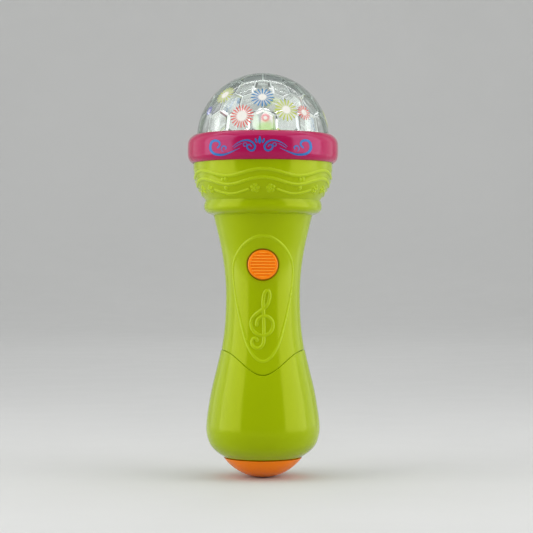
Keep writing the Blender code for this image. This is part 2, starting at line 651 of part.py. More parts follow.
def make_end_cap():
    sphere_z = CAP_SPHERE_RADIUS
    flat_z = sphere_z - math.sqrt(CAP_SPHERE_RADIUS**2 - CAP_FLAT_RADIUS**2)
    first = math.asin(20.9 * MM / CAP_SPHERE_RADIUS)
    last = math.asin(CAP_FLAT_RADIUS / CAP_SPHERE_RADIUS)
    outer = []
    for step in range(7):
        angle = first + (last - first) * step / 6
        outer.append((CAP_SPHERE_RADIUS * math.sin(angle),
                      sphere_z - CAP_SPHERE_RADIUS * math.cos(angle) - flat_z))
    inner_radius = CAP_SPHERE_RADIUS - WALL
    inner = []
    for degrees in (8, 22, 34, 42):
        angle = math.radians(degrees)
        inner.append((inner_radius * math.sin(angle), sphere_z - inner_radius * math.cos(angle) - flat_z))
    spigot = millimetres([(16.6, 14.2), (18.5, 14.2), (18.5, 10.6)])
    turned("end_cap", [(0.0, WALL), *inner, *spigot, *outer, (0.0, 0.0)], ORANGE, hollow=False)


def make_battery_box():
    """An open box for two cells, with end walls, sprung contacts and a post that the door screw starts in."""
    low_z, high_z = 15.2 * MM, 66.0 * MM
    front_y, back_y = 2.0 * MM, 14.2 * MM
    half, wall = 14.2 * MM, 1.2 * MM
    box = block("battery_box", (-half, front_y, low_z), (half, back_y, high_z), BLACK)
    boolean(box, block("cell_space", (wall - half, front_y + wall, low_z + wall),
                       (half - wall, back_y + 5 * MM, high_z - wall)))
    post_end = 12.5 * MM
    post = rods("box_post", [((0, front_y + 0.5 * MM, DOOR_SCREW_Z), (0, post_end, DOOR_SCREW_Z), 2.1 * MM)])
    pilot = rods("box_post_pilot", [((0, 7 * MM, DOOR_SCREW_Z), (0, 20 * MM, DOOR_SCREW_Z), 1.55 * MM)],
                 segments=12)
    boolean(box, post, "UNION")
    boolean(box, pilot)
    cell = [(0.0, CELL_LENGTH), (1.8 * MM, CELL_LENGTH), (1.9 * MM, CELL_LENGTH - 1.0 * MM),
            (4.6 * MM, CELL_LENGTH - 1.1 * MM), (CELL_RADIUS, CELL_LENGTH - 1.7 * MM),
            (CELL_RADIUS, 0.5 * MM), (4.7 * MM, 0.0), (0.0, 0.0)]
    spring_low = low_z + wall + 0.7 * MM
    spring_high = high_z - wall - 0.7 * MM
    for side, label in ((-1, "left"), (1, "right")):
        flipped = side > 0
        battery = turned("battery_" + label, cell, CELL_WRAP, segments=20, hollow=False)
        battery.location = (side * CELL_X, CELL_Y, CELL_LOW_Z)
        if flipped:
            battery.rotation_euler = (math.pi, 0.0, 0.0)
            battery.location.z = low_z + high_z - CELL_LOW_Z
        make_contact_spring("contact_spring_" + label, side * CELL_X, flipped, spring_low, spring_high)
        plate_z = low_z + wall + GAP if flipped else high_z - wall - GAP - 0.3 * MM
        block("contact_plate_" + label, (side * CELL_X - 4 * MM, front_y + wall + GAP, plate_z),
              (side * CELL_X + 4 * MM, back_y - 1 * MM, plate_z + 0.3 * MM), STEEL)


def make_contact_spring(name, x, flipped, low, high):
    """A conical coil that presses on the flat end of a cell."""
    turns, per_turn = 3, 8
    wire = 0.3 * MM
    length = 1.7 * MM
    wide, narrow = 4.0 * MM, 2.4 * MM
    points = []
    for step in range(turns * per_turn + 1):
        share = step / (turns * per_turn)
        angle = 2 * math.pi * turns * share
        radius = wide + (narrow - wide) * share
        height = high - length * share if flipped else low + length * share
        points.append((x + radius * math.cos(angle), CELL_Y + radius * math.sin(angle), height))
    tube(name, points, wire, COPPER, sides=0)


# Wires


def wire_route(points, steps=2):
    return [tuple(v * MM for v in point) for point in smooth_line(points, steps)]


def make_wires():
    routes = {
        "wire_battery_red": (WIRE_RED, [(9.5, 0.4, 60.0), (9.5, 0.0, 68.0), (8.0, -3.0, 76.0),
                                        (7.5, -4.6, 84.0), (7.0, -4.4, 89.4)]),
        "wire_battery_black": (WIRE_BLACK, [(4.5, 0.4, 60.0), (4.5, 0.0, 68.0), (5.0, -3.0, 76.0),
                                            (5.0, -4.6, 84.0), (5.0, -4.4, 89.4)]),
        "wire_switch_1": (WIRE_RED, [(-1.6, 9.9, 103.5), (-2.2, 6.0, 102.0), (3.0, 1.0, 99.0),
                                     (4.6, -3.6, 97.5), (4.6, -4.4, 95.1)]),
        "wire_switch_2": (WIRE_WHITE, [(1.6, 9.9, 108.5), (3.0, 6.0, 108.0), (8.0, 0.5, 102.0),
                                       (7.6, -3.4, 98.0), (7.4, -4.4, 95.1)]),
        "wire_speaker_1": (WIRE_RED, [(-9.0, 17.4, 152.0), (-8.0, 15.5, 145.0), (0.0, 9.0, 136.0),
                                      (4.4, -2.0, 129.0), (4.4, -4.4, 123.6)]),
        "wire_speaker_2": (WIRE_BLACK, [(9.0, 17.4, 152.0), (9.0, 15.5, 145.0), (8.0, 7.0, 136.0),
                                        (7.6, -2.0, 129.0), (7.6, -4.4, 123.6)]),
        "wire_led": (WIRE_WHITE, [(-4.0, -9.0, 169.8), (-4.5, -9.5, 160.0), (-5.5, -6.0, 145.0),
                                  (-6.0, -3.5, 132.0), (-6.0, -5.0, 122.0), (-6.0, -5.0, 119.0)]),
    }
    for name, (material, points) in routes.items():
        tube(name, wire_route(points), 0.6 * MM, material)


def main():
    make_dome()
    make_ring()
    make_light_deck()
    core = make_core()
    body_front(core)
    body_rear(core)
    make_body_screws()
    make_button()
    make_main_board()
    make_power_switch()
    make_speaker()
    make_sleeve()
    make_battery_door()
    make_end_cap()
    make_battery_box()
    make_wires()


main()
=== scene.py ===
import json
import random
from contextlib import contextmanager
from math import asin, copysign, cos, pi, radians, sin, sqrt

import bmesh
import bpy
import numpy as np
from mathutils import Matrix, Vector


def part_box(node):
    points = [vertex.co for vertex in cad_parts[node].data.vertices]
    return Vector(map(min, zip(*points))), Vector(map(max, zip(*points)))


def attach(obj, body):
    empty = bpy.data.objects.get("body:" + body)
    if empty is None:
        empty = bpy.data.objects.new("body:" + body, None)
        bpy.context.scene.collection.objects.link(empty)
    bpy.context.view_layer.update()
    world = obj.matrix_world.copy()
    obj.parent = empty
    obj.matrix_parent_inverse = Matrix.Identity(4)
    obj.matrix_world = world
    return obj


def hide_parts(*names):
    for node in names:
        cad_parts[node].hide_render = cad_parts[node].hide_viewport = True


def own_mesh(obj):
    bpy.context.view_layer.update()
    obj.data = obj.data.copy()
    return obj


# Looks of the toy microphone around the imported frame. Outlines are in millimetres, as (radius, height)
# about the handle's axis. theta is the angle about that axis, from the front (-Y) towards +X.

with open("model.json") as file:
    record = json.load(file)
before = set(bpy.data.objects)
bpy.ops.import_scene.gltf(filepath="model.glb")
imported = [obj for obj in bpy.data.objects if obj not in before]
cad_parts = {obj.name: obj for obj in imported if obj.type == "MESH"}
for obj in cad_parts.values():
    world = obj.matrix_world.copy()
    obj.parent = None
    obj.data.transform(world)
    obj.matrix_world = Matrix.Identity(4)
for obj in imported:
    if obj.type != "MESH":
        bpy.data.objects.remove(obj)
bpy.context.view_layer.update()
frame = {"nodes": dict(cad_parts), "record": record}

MM = 0.001
GAP = 0.3


def span(node):
    """Lowest and highest corner of a CAD node, in millimetres."""
    low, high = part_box(node)
    return np.array(low) / MM, np.array(high) / MM


def middle(node):
    low, high = span(node)
    return (low + high) / 2


DOME_RADIUS = 35.2
DOME_CENTRE_Z = span("dome_cover")[1][2] - DOME_RADIUS
DOME_LOW_Z = span("dome_cover")[0][2]
FACET_INRADIUS = 32.7
# Rows of facets from the top down, as (elevation in degrees, number of facets).
FACET_ROWS = [(90, 1), (66, 8), (48, 16), (30, 16), (11, 16), (-8, 16), (-27, 16), (-50, 8), (-90, 1)]
RIM_TOP_Z = span("body_front_shell")[1][2]
LINER_LOW_Z = span("body_front_shell")[0][2]
SEAM_HIGH_Z = span("handle_sleeve")[1][2] + 0.2
SEAM_LOW_Z = SEAM_HIGH_Z - 12.4
SEAM_HALF_WIDTH = 22.4
SEAM_GAP = 0.12
PARTING_GAP = 0.005
BUTTON_Z = middle("button_cap")[2]
BUTTON_FACE_Y = span("button_cap")[0][1]
BUTTON_HOLE_RADIUS = 8.35
SPEAKER_Z = middle("speaker_cone")[2]
SWITCH_MIDDLE_Z = span("power_switch_knob")[0][2] + 3.4
BODY_SCREWS = [name for name in frame["nodes"] if name.startswith("body_screw_")]

CUP_KEYS = [(37.0, 167.9), (37.0, 164.0), (36.5, 160.3), (35.5, 156.2), (34.0, 152.6), (32.3, 149.7),
            (30.6, 147.1)]
BEAD_KEYS = [(30.6, 147.1), (31.2, 145.4), (31.4, 143.7), (31.0, 142.0), (29.6, 140.5), (27.6, 139.7),
             (26.4, 139.3)]
NECK_KEYS = [(26.4, 139.3), (24.4, 131.2), (22.0, 120.3), (20.3, 108.0), (19.75, 96.0), (20.3, 81.3),
             (21.8, 69.6), (23.9, 58.4), (26.4, 47.6)]
SLEEVE_KEYS = [(22.3, 67.9), (24.8, 57.3), (27.4, 46.6), (29.4, 35.2), (30.3, 27.0), (29.9, 22.2),
               (28.2, 17.4), (25.2, 13.9), (20.9, 10.9)]
RING_KEYS = [(35.55, 182.0), (36.4, 181.9), (37.7, 181.1), (39.1, 179.6), (39.8, 178.0), (40.0, 176.0),
             (40.0, 172.0), (39.7, 169.8), (38.9, 168.1), (37.8, 167.1)]
SHELL_INSIDE = [(18.0, 73.0), (18.2, 81.3), (17.7, 96.0), (18.3, 108.0), (20.0, 120.3), (22.4, 131.2),
                (24.6, 139.6), (27.6, 142.5), (29.0, 146.2), (31.2, 150.6), (33.2, 155.6), (34.4, 160.6),
                (34.6, 171.2), (32.8, 172.8), (32.8, 174.0), (35.0, 174.0), (35.0, 177.5)]
SLEEVE_INSIDE = [(18.9, 10.9), (18.9, 13.0), (23.2, 15.1), (26.2, 18.2), (27.9, 22.6), (28.3, 27.0),
                 (27.4, 35.2), (25.4, 46.6), (22.8, 57.3), (20.35, 67.9)]


# Curves


def resample(points, step):
    """The same line with points every step millimetres, near enough, and its ends kept."""
    points = np.array(points, float)
    along = np.concatenate([[0.0], np.cumsum(np.linalg.norm(np.diff(points, axis=0), axis=1))])
    places = np.linspace(0.0, along[-1], max(2, int(round(along[-1] / step)) + 1))
    return np.stack([np.interp(places, along, column) for column in points.T], axis=1)


def curve(keys, step=0.4):
    """A smooth line through the keys, with points every step millimetres."""
    keys = np.array(keys, float)
    padded = np.vstack([2 * keys[0] - keys[1], keys, 2 * keys[-1] - keys[-2]])
    t = np.linspace(0.0, 1.0, 24, endpoint=False)[:, None]
    pieces = []
    for a, b, c, d in zip(padded, padded[1:], padded[2:], padded[3:]):
        square, cube = 2 * a - 5 * b + 4 * c - d, 3 * b - a - 3 * c + d
        pieces.append(0.5 * (2 * b + (c - a) * t + square * t**2 + cube * t**3))
    return resample(np.vstack([*pieces, keys[-1:]]), step)


def rounded(points, cut, steps=4, closed=True):
    """The outline with each corner turned into a small curve that starts cut millimetres before it."""
    points = [np.array(point, float) for point in points]
    result = []
    for index, corner in enumerate(points):
        if not closed and index in (0, len(points) - 1):
            result.append(corner)
            continue
        ends = []
        for other in (points[index - 1], points[(index + 1) % len(points)]):
            leg = other - corner
            ends.append(corner + leg * min(cut / np.linalg.norm(leg), 0.45))
        for t in np.linspace(0.0, 1.0, steps + 1):
            result.append((1 - t) ** 2 * ends[0] + 2 * t * (1 - t) * corner + t**2 * ends[1])
    return result


def radius_along(keys):
    """The radius as a function of height, for an outline that runs downwards."""
    line = curve(keys, 0.3)
    return lambda z: np.interp(z, line[::-1, 1], line[::-1, 0])


cup_radius = radius_along(CUP_KEYS)
neck_radius = radius_along(NECK_KEYS)
sleeve_radius = radius_along(SLEEVE_KEYS)
ring_radius = radius_along(RING_KEYS)


def seam_height(x):
    """Height of the curved seam between the body and the handle sleeve, seen from the front."""
    share = np.clip(np.abs(x) / SEAM_HALF_WIDTH, 0.0, 1.0)
    return SEAM_LOW_Z + (SEAM_HIGH_Z - SEAM_LOW_Z) * np.sin(share * pi / 2) ** 2


def seam_of_columns(theta, radius):
    """Height of the seam at each angle. Behind the sides it stays level."""
    z = np.full(len(theta), SEAM_HIGH_Z)
    for _ in range(12):
        z = 0.5 * (z + seam_height(radius(z) * np.sin(theta)))
    return np.where(np.cos(theta) > 0.0, z, SEAM_HIGH_Z)


# Meshes


def full_circle(count):
    return np.linspace(0.0, 2 * pi, count, endpoint=False)


def add_object(name, data):
    obj = bpy.data.objects.new(name, data)
    bpy.context.scene.collection.objects.link(obj)
    return obj


@contextmanager
def edited(mesh):
    """The mesh as a bmesh, which is written back at the end of the with block."""
    bm = bmesh.new()
    bm.from_mesh(mesh)
    yield bm
    bm.to_mesh(mesh)
    bm.free()


def new_object(name, verts, faces, materials, slots=None, crease=30.0):
    """A mesh object from points in millimetres. Edges sharper than crease degrees stay sharp."""
    mesh = bpy.data.meshes.new(name)
    mesh.from_pydata((np.array(verts, float) * MM).tolist(), [], [list(face) for face in faces])
    for material in materials:
        mesh.materials.append(material)
    if slots is not None:
        mesh.polygons.foreach_set("material_index", np.array(slots, np.int32))
    with edited(mesh) as bm:
        bmesh.ops.remove_doubles(bm, verts=bm.verts, dist=1e-7)
        bmesh.ops.recalc_face_normals(bm, faces=bm.faces)
    mesh.shade_smooth()
    mesh.set_sharp_from_angle(angle=radians(crease))
    return add_object(name, mesh)


def grid_faces(columns, rows, around=True, loop=True, first=0):
    """Quads between the points of a grid that is stored column by column."""
    column, row = np.meshgrid(np.arange(columns if around else columns - 1),
                              np.arange(rows if loop else rows - 1), indexing="ij")
    next_column, next_row = (column + 1) % columns, (row + 1) % rows
    corners = [column * rows + row, next_column * rows + row, next_column * rows + next_row,
               column * rows + next_row]
    return (np.stack(corners, axis=-1).reshape(-1, 4) + first).tolist()


def end_faces(columns, rows):
    """The two faces that close the first and the last column of a grid."""
    return [list(range(rows)), list(range((columns - 1) * rows, columns * rows))]


def about_axis(radius, theta, z):
    """Points at this radius, angle and height about the handle's axis."""
    return np.stack([radius * np.sin(theta), -radius * np.cos(theta), z + 0.0 * theta], axis=-1)


def turned(name, profile, materials, segments=96, hollow=True):
    """A profile of (radius, height) turned about Z. A solid one starts and ends on the axis."""
    profile = np.array(profile, float)
    theta = full_circle(segments)[:, None]
    verts = about_axis(profile[:, 0], theta, profile[:, 1]).reshape(-1, 3)
    faces = grid_faces(segments, len(profile), loop=hollow)
    return new_object(name, verts, faces, materials)


def prism(name, outline, y_low, y_high, materials=()):
    """A closed outline of (x, z) points made solid between two depths."""
    count = len(outline)
    verts = [(x, y, z) for y in (y_low, y_high) for x, z in outline]
    faces = [list(range(count)), list(range(count, 2 * count))]
    faces += [[i, (i + 1) % count, (i + 1) % count + count, i + count] for i in range(count)]
    return new_object(name, verts, faces, materials)


def circle(x, z, radius, count=32):
    return [(x + radius * cos(angle), z + radius * sin(angle)) for angle in full_circle(count)]


def rectangle(x, z, half_width, half_height):
    signs = [(-1, -1), (1, -1), (1, 1), (-1, 1)]
    return [(x + half_width * across, z + half_height * up) for across, up in signs]


def join(name, objects):
    """One object from several, with their materials."""
    bm = bmesh.new()
    materials = []
    for obj in objects:
        own = [slot.material for slot in obj.material_slots]
        materials += [material for material in own if material not in materials]
        start = len(bm.faces)
        bm.from_mesh(obj.data)
        bm.faces.ensure_lookup_table()
        for face in bm.faces[start:]:
            face.material_index = materials.index(own[face.material_index])
    joined = objects[0]
    joined.data.materials.clear()
    for material in materials:
        joined.data.materials.append(material)
    bm.to_mesh(joined.data)
    bm.free()
    for obj in objects[1:]:
        bpy.data.objects.remove(obj)
    joined.name = name
    return joined


def apply_modifiers(obj, crease):
    bpy.context.view_layer.update()
    made = bpy.data.meshes.new_from_object(obj.evaluated_get(bpy.context.evaluated_depsgraph_get()))
    obj.modifiers.clear()
    obj.data = made
    made.shade_smooth()
    made.set_sharp_from_angle(angle=radians(crease))


def combine(obj, tool, operation="DIFFERENCE"):
    """Applies a boolean and removes the tool."""
    modifier = obj.modifiers.new("combine", "BOOLEAN")
    modifier.operation = operation
    modifier.object = tool
    modifier.solver = "MANIFOLD"
    apply_modifiers(obj, 30.0)
    bpy.data.objects.remove(tool)


def soften(obj, width):
    """Rounds the edges of a flat-sided piece."""
    bevel = obj.modifiers.new("edges", "BEVEL")
    bevel.width = width * MM
    bevel.segments = 2
    bevel.limit_method = "ANGLE"
    bevel.angle_limit = radians(35.0)
    apply_modifiers(obj, 50.0)


def place(obj, body, slot, *nodes):
    """The piece rides on a body and stands for CAD nodes, which it hides. slot is not used."""
    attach(obj, body)
    if nodes:
        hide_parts(*nodes)
    return obj


def lay_along_y(obj, x, y, z, forward=False):
    """Turns a piece made along Z so that its top faces +Y, or -Y if forward, and moves it into place."""
    turn = Matrix.Rotation(radians(90.0 if forward else -90.0), 4, "X")
    obj.data.transform(Matrix.Translation(Vector((x, y, z)) * MM) @ turn)


# Materials


def linear(*display):
    """Scene values of a red, green and blue between 0 and 255, as a display shows them."""
    shares = [value / 255.0 for value in display]
    return [share / 12.92 if share <= 0.04045 else ((share + 0.055) / 1.055) ** 2.4 for share in shares]


def shaded(colour, factor):
    return (*[channel * factor for channel in colour], 1.0)


def set_inputs(tree, node, **inputs):
    """Gives the node's inputs their values, or links them where the value is another node's output."""
    for name, value in inputs.items():
        socket = node.inputs[name.replace("_", " ")]
        if isinstance(value, bpy.types.NodeSocket):
            tree.links.new(value, socket)
        else:
            socket.default_value = value


def noise(tree, scale):
    texture = tree.nodes.new("ShaderNodeTexNoise")
    coordinates = tree.nodes.new("ShaderNodeTexCoord").outputs["Object"]
    set_inputs(tree, texture, Vector=coordinates, Scale=scale, Detail=3.0)
    return texture.outputs["Fac"]


def ranged(tree, value, first, last, low=0.0, high=1.0):
    """Maps a value between first and last to one between low and high."""
    node = tree.nodes.new("ShaderNodeMapRange")
    set_inputs(tree, node, Value=value, From_Min=first, From_Max=last, To_Min=low, To_Max=high)
    return node.outputs["Result"]


def mixed(tree, share, first, second):
    mix = tree.nodes.new("ShaderNodeMix")
    mix.data_type = "RGBA"
    set_inputs(tree, mix, Factor=share, A=first, B=second)
    return mix.outputs["Result"]


def show_blend(tree, share, first, second):
    """Makes the material's surface a blend of two shaders."""
    mix = tree.nodes.new("ShaderNodeMixShader")
    for socket, source in zip(mix.inputs, (share, first, second)):
        tree.links.new(source, socket)
    tree.links.new(mix.outputs["Shader"], tree.nodes["Material Output"].inputs["Surface"])


def moulded(name, colour, roughness, variation=0.05, grain=1400.0, bump=0.012, patch=30.0, **sockets):
    """A material with uneven colour and roughness and a fine surface grain. The scales are per metre."""
    material = bpy.data.materials.new(name)
    material.use_nodes = True
    tree = material.node_tree
    uneven_colour = mixed(tree, ranged(tree, noise(tree, patch), 0.3, 0.7),
                          shaded(colour, 1.0 - variation), shaded(colour, 1.0 + variation))
    uneven_gloss = ranged(tree, noise(tree, patch * 6.0), 0.3, 0.7, roughness * 0.85, roughness * 1.15)
    relief = tree.nodes.new("ShaderNodeBump")
    set_inputs(tree, relief, Strength=bump, Distance=0.0004, Height=noise(tree, grain))
    set_inputs(tree, tree.nodes["Principled BSDF"], Base_Color=uneven_colour, Roughness=uneven_gloss,
               Normal=relief.outputs["Normal"], **sockets)
    return material


def seen_through(material, rim=None):
    """Lets lamp light pass through a clear material, so it casts no dark shadow. rim darkens it toward
    grazing angles, where the surface turns edge-on to the view: painted shade.
    """
    tree = material.node_tree
    shader = tree.nodes["Principled BSDF"]
    if rim is not None:
        # Painted shade: the colour darkens toward the rim colour as the surface turns edge-on to the view.
        facing = tree.nodes.new("ShaderNodeLayerWeight")
        set_inputs(tree, facing, Blend=0.5)
        body = shader.inputs["Base Color"].links[0].from_socket
        share = ranged(tree, facing.outputs["Facing"], 0.32, 0.65)
        set_inputs(tree, shader, Base_Color=mixed(tree, share, body, (*rim, 1.0)))
    path = tree.nodes.new("ShaderNodeLightPath")
    clear = tree.nodes.new("ShaderNodeBsdfTransparent")
    show_blend(tree, path.outputs["Is Shadow Ray"], shader.outputs["BSDF"], clear.outputs["BSDF"])
    return material


GREEN = moulded("green_plastic", linear(152, 173, 0), 0.15, variation=0.015,
                Specular_Tint=(1.0, 1.0, 0.15, 1.0))
# A lighter copy of the body's green for the raised cords and dots: painted highlight, so the relief reads as
# lit.
GREEN_PAINTED_HIGHLIGHT = moulded("green_relief_painted_highlight", linear(164, 187, 0), 0.3, variation=0.02,
                       Specular_Tint=(1.0, 1.0, 0.3, 1.0))
MAGENTA = moulded("magenta_plastic", linear(168, 0, 70), 0.15, variation=0.015,
                  Specular_Tint=(1.0, 0.55, 1.0, 1.0))
ORANGE = moulded("orange_plastic", linear(252, 130, 0), 0.2, variation=0.02,
                 Specular_Tint=(1.0, 0.8, 0.4, 1.0))
# A lighter copy of the orange plastic for the button's rib crests: painted highlight.
ORANGE_RIB_HIGHLIGHT = moulded("orange_rib_painted_highlight", linear(255, 158, 44), 0.25, variation=0.02,
                      Specular_Tint=(1.0, 0.85, 0.5, 1.0))
BLUE_INK = moulded("blue_ink", linear(24, 106, 176), 0.3, variation=0.05, Specular_Tint=(0.5, 0.7, 1.0, 1.0))
CLEAR = seen_through(moulded("clear_plastic", (0.94, 0.97, 0.96), 0.02, variation=0.02, bump=0.005,
                             Transmission_Weight=1.0, IOR=1.49))
# The dome's skin, facets and facet edges darken toward grazing angles: painted shade.
DOME_SKIN = seen_through(moulded("clear_dome", (0.94, 0.97, 0.96), 0.02, variation=0.02, bump=0.005,
                                 Transmission_Weight=1.0, IOR=1.49), rim=(0.2, 0.25, 0.22))
FACET = seen_through(moulded("clear_facet", (0.88, 0.92, 0.89), 0.04, variation=0.05, bump=0.01,
                             Transmission_Weight=0.9, IOR=1.49), rim=(0.2, 0.26, 0.22))
FACET_EDGE = seen_through(moulded("facet_edge", (0.82, 0.86, 0.84), 0.5, variation=0.04),
                          rim=(0.12, 0.15, 0.13))
WHITE = moulded("white_plastic", (0.84, 0.84, 0.82), 0.4, variation=0.03)
BLACK = moulded("black_plastic", (0.02, 0.02, 0.022), 0.45, variation=0.2, bump=0.15)
BOARD = moulded("circuit_board", (0.02, 0.2, 0.07), 0.35, variation=0.25, patch=300.0)
STEEL = moulded("plated_steel", (0.62, 0.62, 0.63), 0.28, variation=0.06, Metallic=1.0)
COPPER = moulded("spring_wire", (0.7, 0.64, 0.5), 0.3, variation=0.08, Metallic=1.0)
SILICONE = moulded("silicone", (0.62, 0.64, 0.62), 0.6, variation=0.05, bump=0.1)
FOAM = moulded("foam", (0.06, 0.06, 0.065), 0.95, variation=0.3, grain=3000.0, bump=0.6)
PAPER = moulded("cone_paper", (0.05, 0.05, 0.055), 0.85, variation=0.2, grain=2500.0, bump=0.3)
RED_WIRE = moulded("red_insulation", (0.6, 0.02, 0.02), 0.5)
BLACK_WIRE = moulded("black_insulation", (0.02, 0.02, 0.02), 0.5)
WHITE_WIRE = moulded("white_insulation", (0.8, 0.8, 0.78), 0.5)
CELL_WRAP = moulded("cell_wrap", (0.05, 0.06, 0.075), 0.3, variation=0.1, Metallic=0.5)
CELL_BAND = moulded("cell_band", (0.72, 0.42, 0.12), 0.3, variation=0.1, Metallic=0.6)


def led_material(name, colour):
    return seen_through(moulded(name, colour, 0.12, Transmission_Weight=0.6, IOR=1.5,
                                Emission_Color=(*colour, 1.0), Emission_Strength=0.05))


LED_RED = led_material("led_red", (0.95, 0.86, 0.86))
LED_GREEN = led_material("led_green", (0.86, 0.94, 0.84))
LED_BLUE = led_material("led_blue", (0.86, 0.89, 0.96))
SLOT_MATERIALS = {
    "green_plastic": GREEN, "magenta_plastic": MAGENTA, "orange_plastic": ORANGE, "clear_plastic": CLEAR,
    "white_plastic": WHITE, "black_plastic": BLACK, "circuit_board": BOARD, "plated_steel": STEEL,
    "silicone": SILICONE, "foam": FOAM, "cone_paper": PAPER, "led_red": LED_RED, "led_green": LED_GREEN,
    "led_blue": LED_BLUE, "red_insulation": RED_WIRE, "black_insulation": BLACK_WIRE,
    "white_insulation": WHITE_WIRE, "cell_wrap": CELL_WRAP,
}


def painted_light_material():
    """A film of painted light that glows though it is no lamp. Its colour and its density come from the mesh.
    """
    material = bpy.data.materials.new("painted_light_spot")
    material.use_nodes = True
    tree = material.node_tree
    tree.nodes.remove(tree.nodes["Principled BSDF"])
    glow = tree.nodes.new("ShaderNodeAttribute")
    glow.attribute_name = "glow"
    emission = tree.nodes.new("ShaderNodeEmission")
    set_inputs(tree, emission, Color=glow.outputs["Color"], Strength=1.0)
    clear = tree.nodes.new("ShaderNodeBsdfTransparent")
    show_blend(tree, glow.outputs["Alpha"], clear.outputs["BSDF"], emission.outputs["Emission"])
    return material


LIGHT = painted_light_material()


# Relief on the body


WAVES = [(160.5, 1.65), (156.15, 1.7), (151.3, 1.7)]
LEDGE = 0.25


def bead_shape(distance, half_width):
    """Cross-section of a raised line."""
    return np.clip(1.0 - (distance / half_width) ** 2, 0.0, 1.0)


def wave_height(wave, theta):
    level, swing = WAVES[wave]
    return level + swing * np.cos(6 * theta)


def smooth_step(value, low, high):
    t = np.clip((value - low) / (high - low), 0.0, 1.0)
    return t * t * (3 - 2 * t)


def near_edge(distance, width):
    """1 inside an opening, fading to 0 at width millimetres outside it."""
    return (1.0 - np.clip(distance / width, 0.0, 1.0)) ** 2


def cup_relief(theta, z):
    """Two soft ledges around the cup, which the upper cords run along."""
    height = 0.0 * z
    for wave in (0, 1):
        above = z - wave_height(wave, theta)
        share = np.where(above > 0.0, above / 2.4, -above / 1.8)
        height = np.maximum(height, LEDGE * (0.5 + 0.5 * np.cos(np.pi * np.clip(share, 0.0, 1.0))))
    return height


def skin(radius, theta, z, lift):
    """Points lift millimetres above the turned surface of this radius."""
    slope = (radius(z + 0.05) - radius(z - 0.05)) / 0.1
    length = np.sqrt(1.0 + slope**2)
    reach = radius(z) + lift / length
    return about_axis(reach, theta, z - lift * slope / length)


def raised_cord(radius, theta, z, half_width, height, lift=0.0, closed=False, round_ends=(True, True)):
    """A round cord along a line on the body, sunk a little into the wall. It takes a lighter green than the
    body, a painted highlight.
    """
    sink = 0.4
    line = skin(radius, theta, z, lift)
    out = skin(radius, theta, z, lift + 1.0) - line
    if closed:
        ahead = np.roll(line, -1, axis=0) - np.roll(line, 1, axis=0)
    else:
        ahead = np.gradient(line, axis=0)
    side = np.cross(ahead, out)
    side /= np.linalg.norm(side, axis=1)[:, None]
    along = np.concatenate([[0.0], np.cumsum(np.linalg.norm(np.diff(line, axis=0), axis=1))])
    size = np.ones(len(line))
    for from_end, wanted in zip((along, along[-1] - along), round_ends):
        if wanted and not closed:
            size *= np.sqrt(1.0 - (1.0 - np.clip(from_end / half_width, 0.02, 1.0)) ** 2)
    turn = np.concatenate([[0.0], np.linspace(0.0, pi, 11), [pi]])
    rise = size[:, None] * height * np.sin(turn) ** 2
    rise[:, [0, -1]] = -sink
    verts = (line[:, None] + side[:, None] * (size[:, None] * half_width * np.cos(turn))[..., None]
             + out[:, None] * rise[..., None])
    faces = grid_faces(len(line), len(turn), around=closed)
    if not closed:
        faces += end_faces(len(line), len(turn))
    return new_object("cord", verts.reshape(-1, 3), faces, [GREEN_PAINTED_HIGHLIGHT], crease=50.0)


def raised_dot(radius, theta, z, size, height, lift=0.0):
    """A round mound on the body, in a lighter green than the body: a painted highlight."""
    sink, columns, rows = 0.4, 18, 8
    centre = skin(radius, theta, z, lift)
    out = skin(radius, theta, z, lift + 1.0) - centre
    right = np.array((cos(theta), sin(theta), 0.0))
    up = np.cross(out, right)
    fall = np.append(np.linspace(0.0, pi / 2, rows - 1), pi / 2)
    around, fall = np.meshgrid(full_circle(columns), fall, indexing="ij")
    rise = height * np.cos(fall) ** 2
    rise[:, -1] = -sink
    flat = np.cos(around)[..., None] * right + np.sin(around)[..., None] * up
    verts = centre + flat * (size * np.sin(fall))[..., None] + out * rise[..., None]
    base = [column * rows + rows - 1 for column in range(columns)]
    faces = [*grid_faces(columns, rows, loop=False), base]
    return new_object("dot", verts.reshape(-1, 3), faces, [GREEN_PAINTED_HIGHLIGHT], crease=50.0)


def cup_ornaments(first, last):
    """The cords, flowers and buds of the cup between two angles in degrees."""
    parts = []
    round_ends = (abs(first) != 90.0 and first != 270.0, abs(last) != 90.0 and last != 270.0)
    theta = np.radians(np.linspace(first + 0.5, last - 0.5, 260))
    for wave in (0, 1):
        parts.append(raised_cord(cup_radius, theta, wave_height(wave, theta), 0.85, 0.36, LEDGE,
                                 round_ends=round_ends))
    for trough in range(-90, 271, 60):
        start, end = max(trough - 18.5, first + 0.5), min(trough + 18.5, last - 0.5)
        if end - start > 5.0:
            theta = np.radians(np.linspace(start, end, 60))
            parts.append(raised_cord(cup_radius, theta, wave_height(2, theta), 0.8, 0.42))
        for side in (-1, 1):
            degrees = trough + 4.0 * side
            bud_side = 1 if trough in (30, 90, 210) else -1
            if first + 2.0 < degrees < last - 2.0 and side == bud_side:
                for across, up, size in ((-1.0, 156.8, 1.15), (1.0, 157.1, 1.25), (0.1, 152.6, 1.3)):
                    turn = radians(degrees) + across / cup_radius(up)
                    parts.append(raised_dot(cup_radius, turn, up, size, 0.45))
            degrees = trough + 30.0 + 6.8 * side
            if first + 4.0 < degrees < last - 4.0:
                parts.append(raised_dot(cup_radius, radians(degrees), 152.3, 1.0, 0.6))
                for petal in range(5):
                    around = radians(90.0 + 72.0 * petal + 9.0 * side)
                    up = 152.3 + 1.5 * sin(around)
                    turn = radians(degrees) + 1.5 * cos(around) / cup_radius(up)
                    parts.append(raised_dot(cup_radius, turn, up, 1.1, 0.45))
    return parts


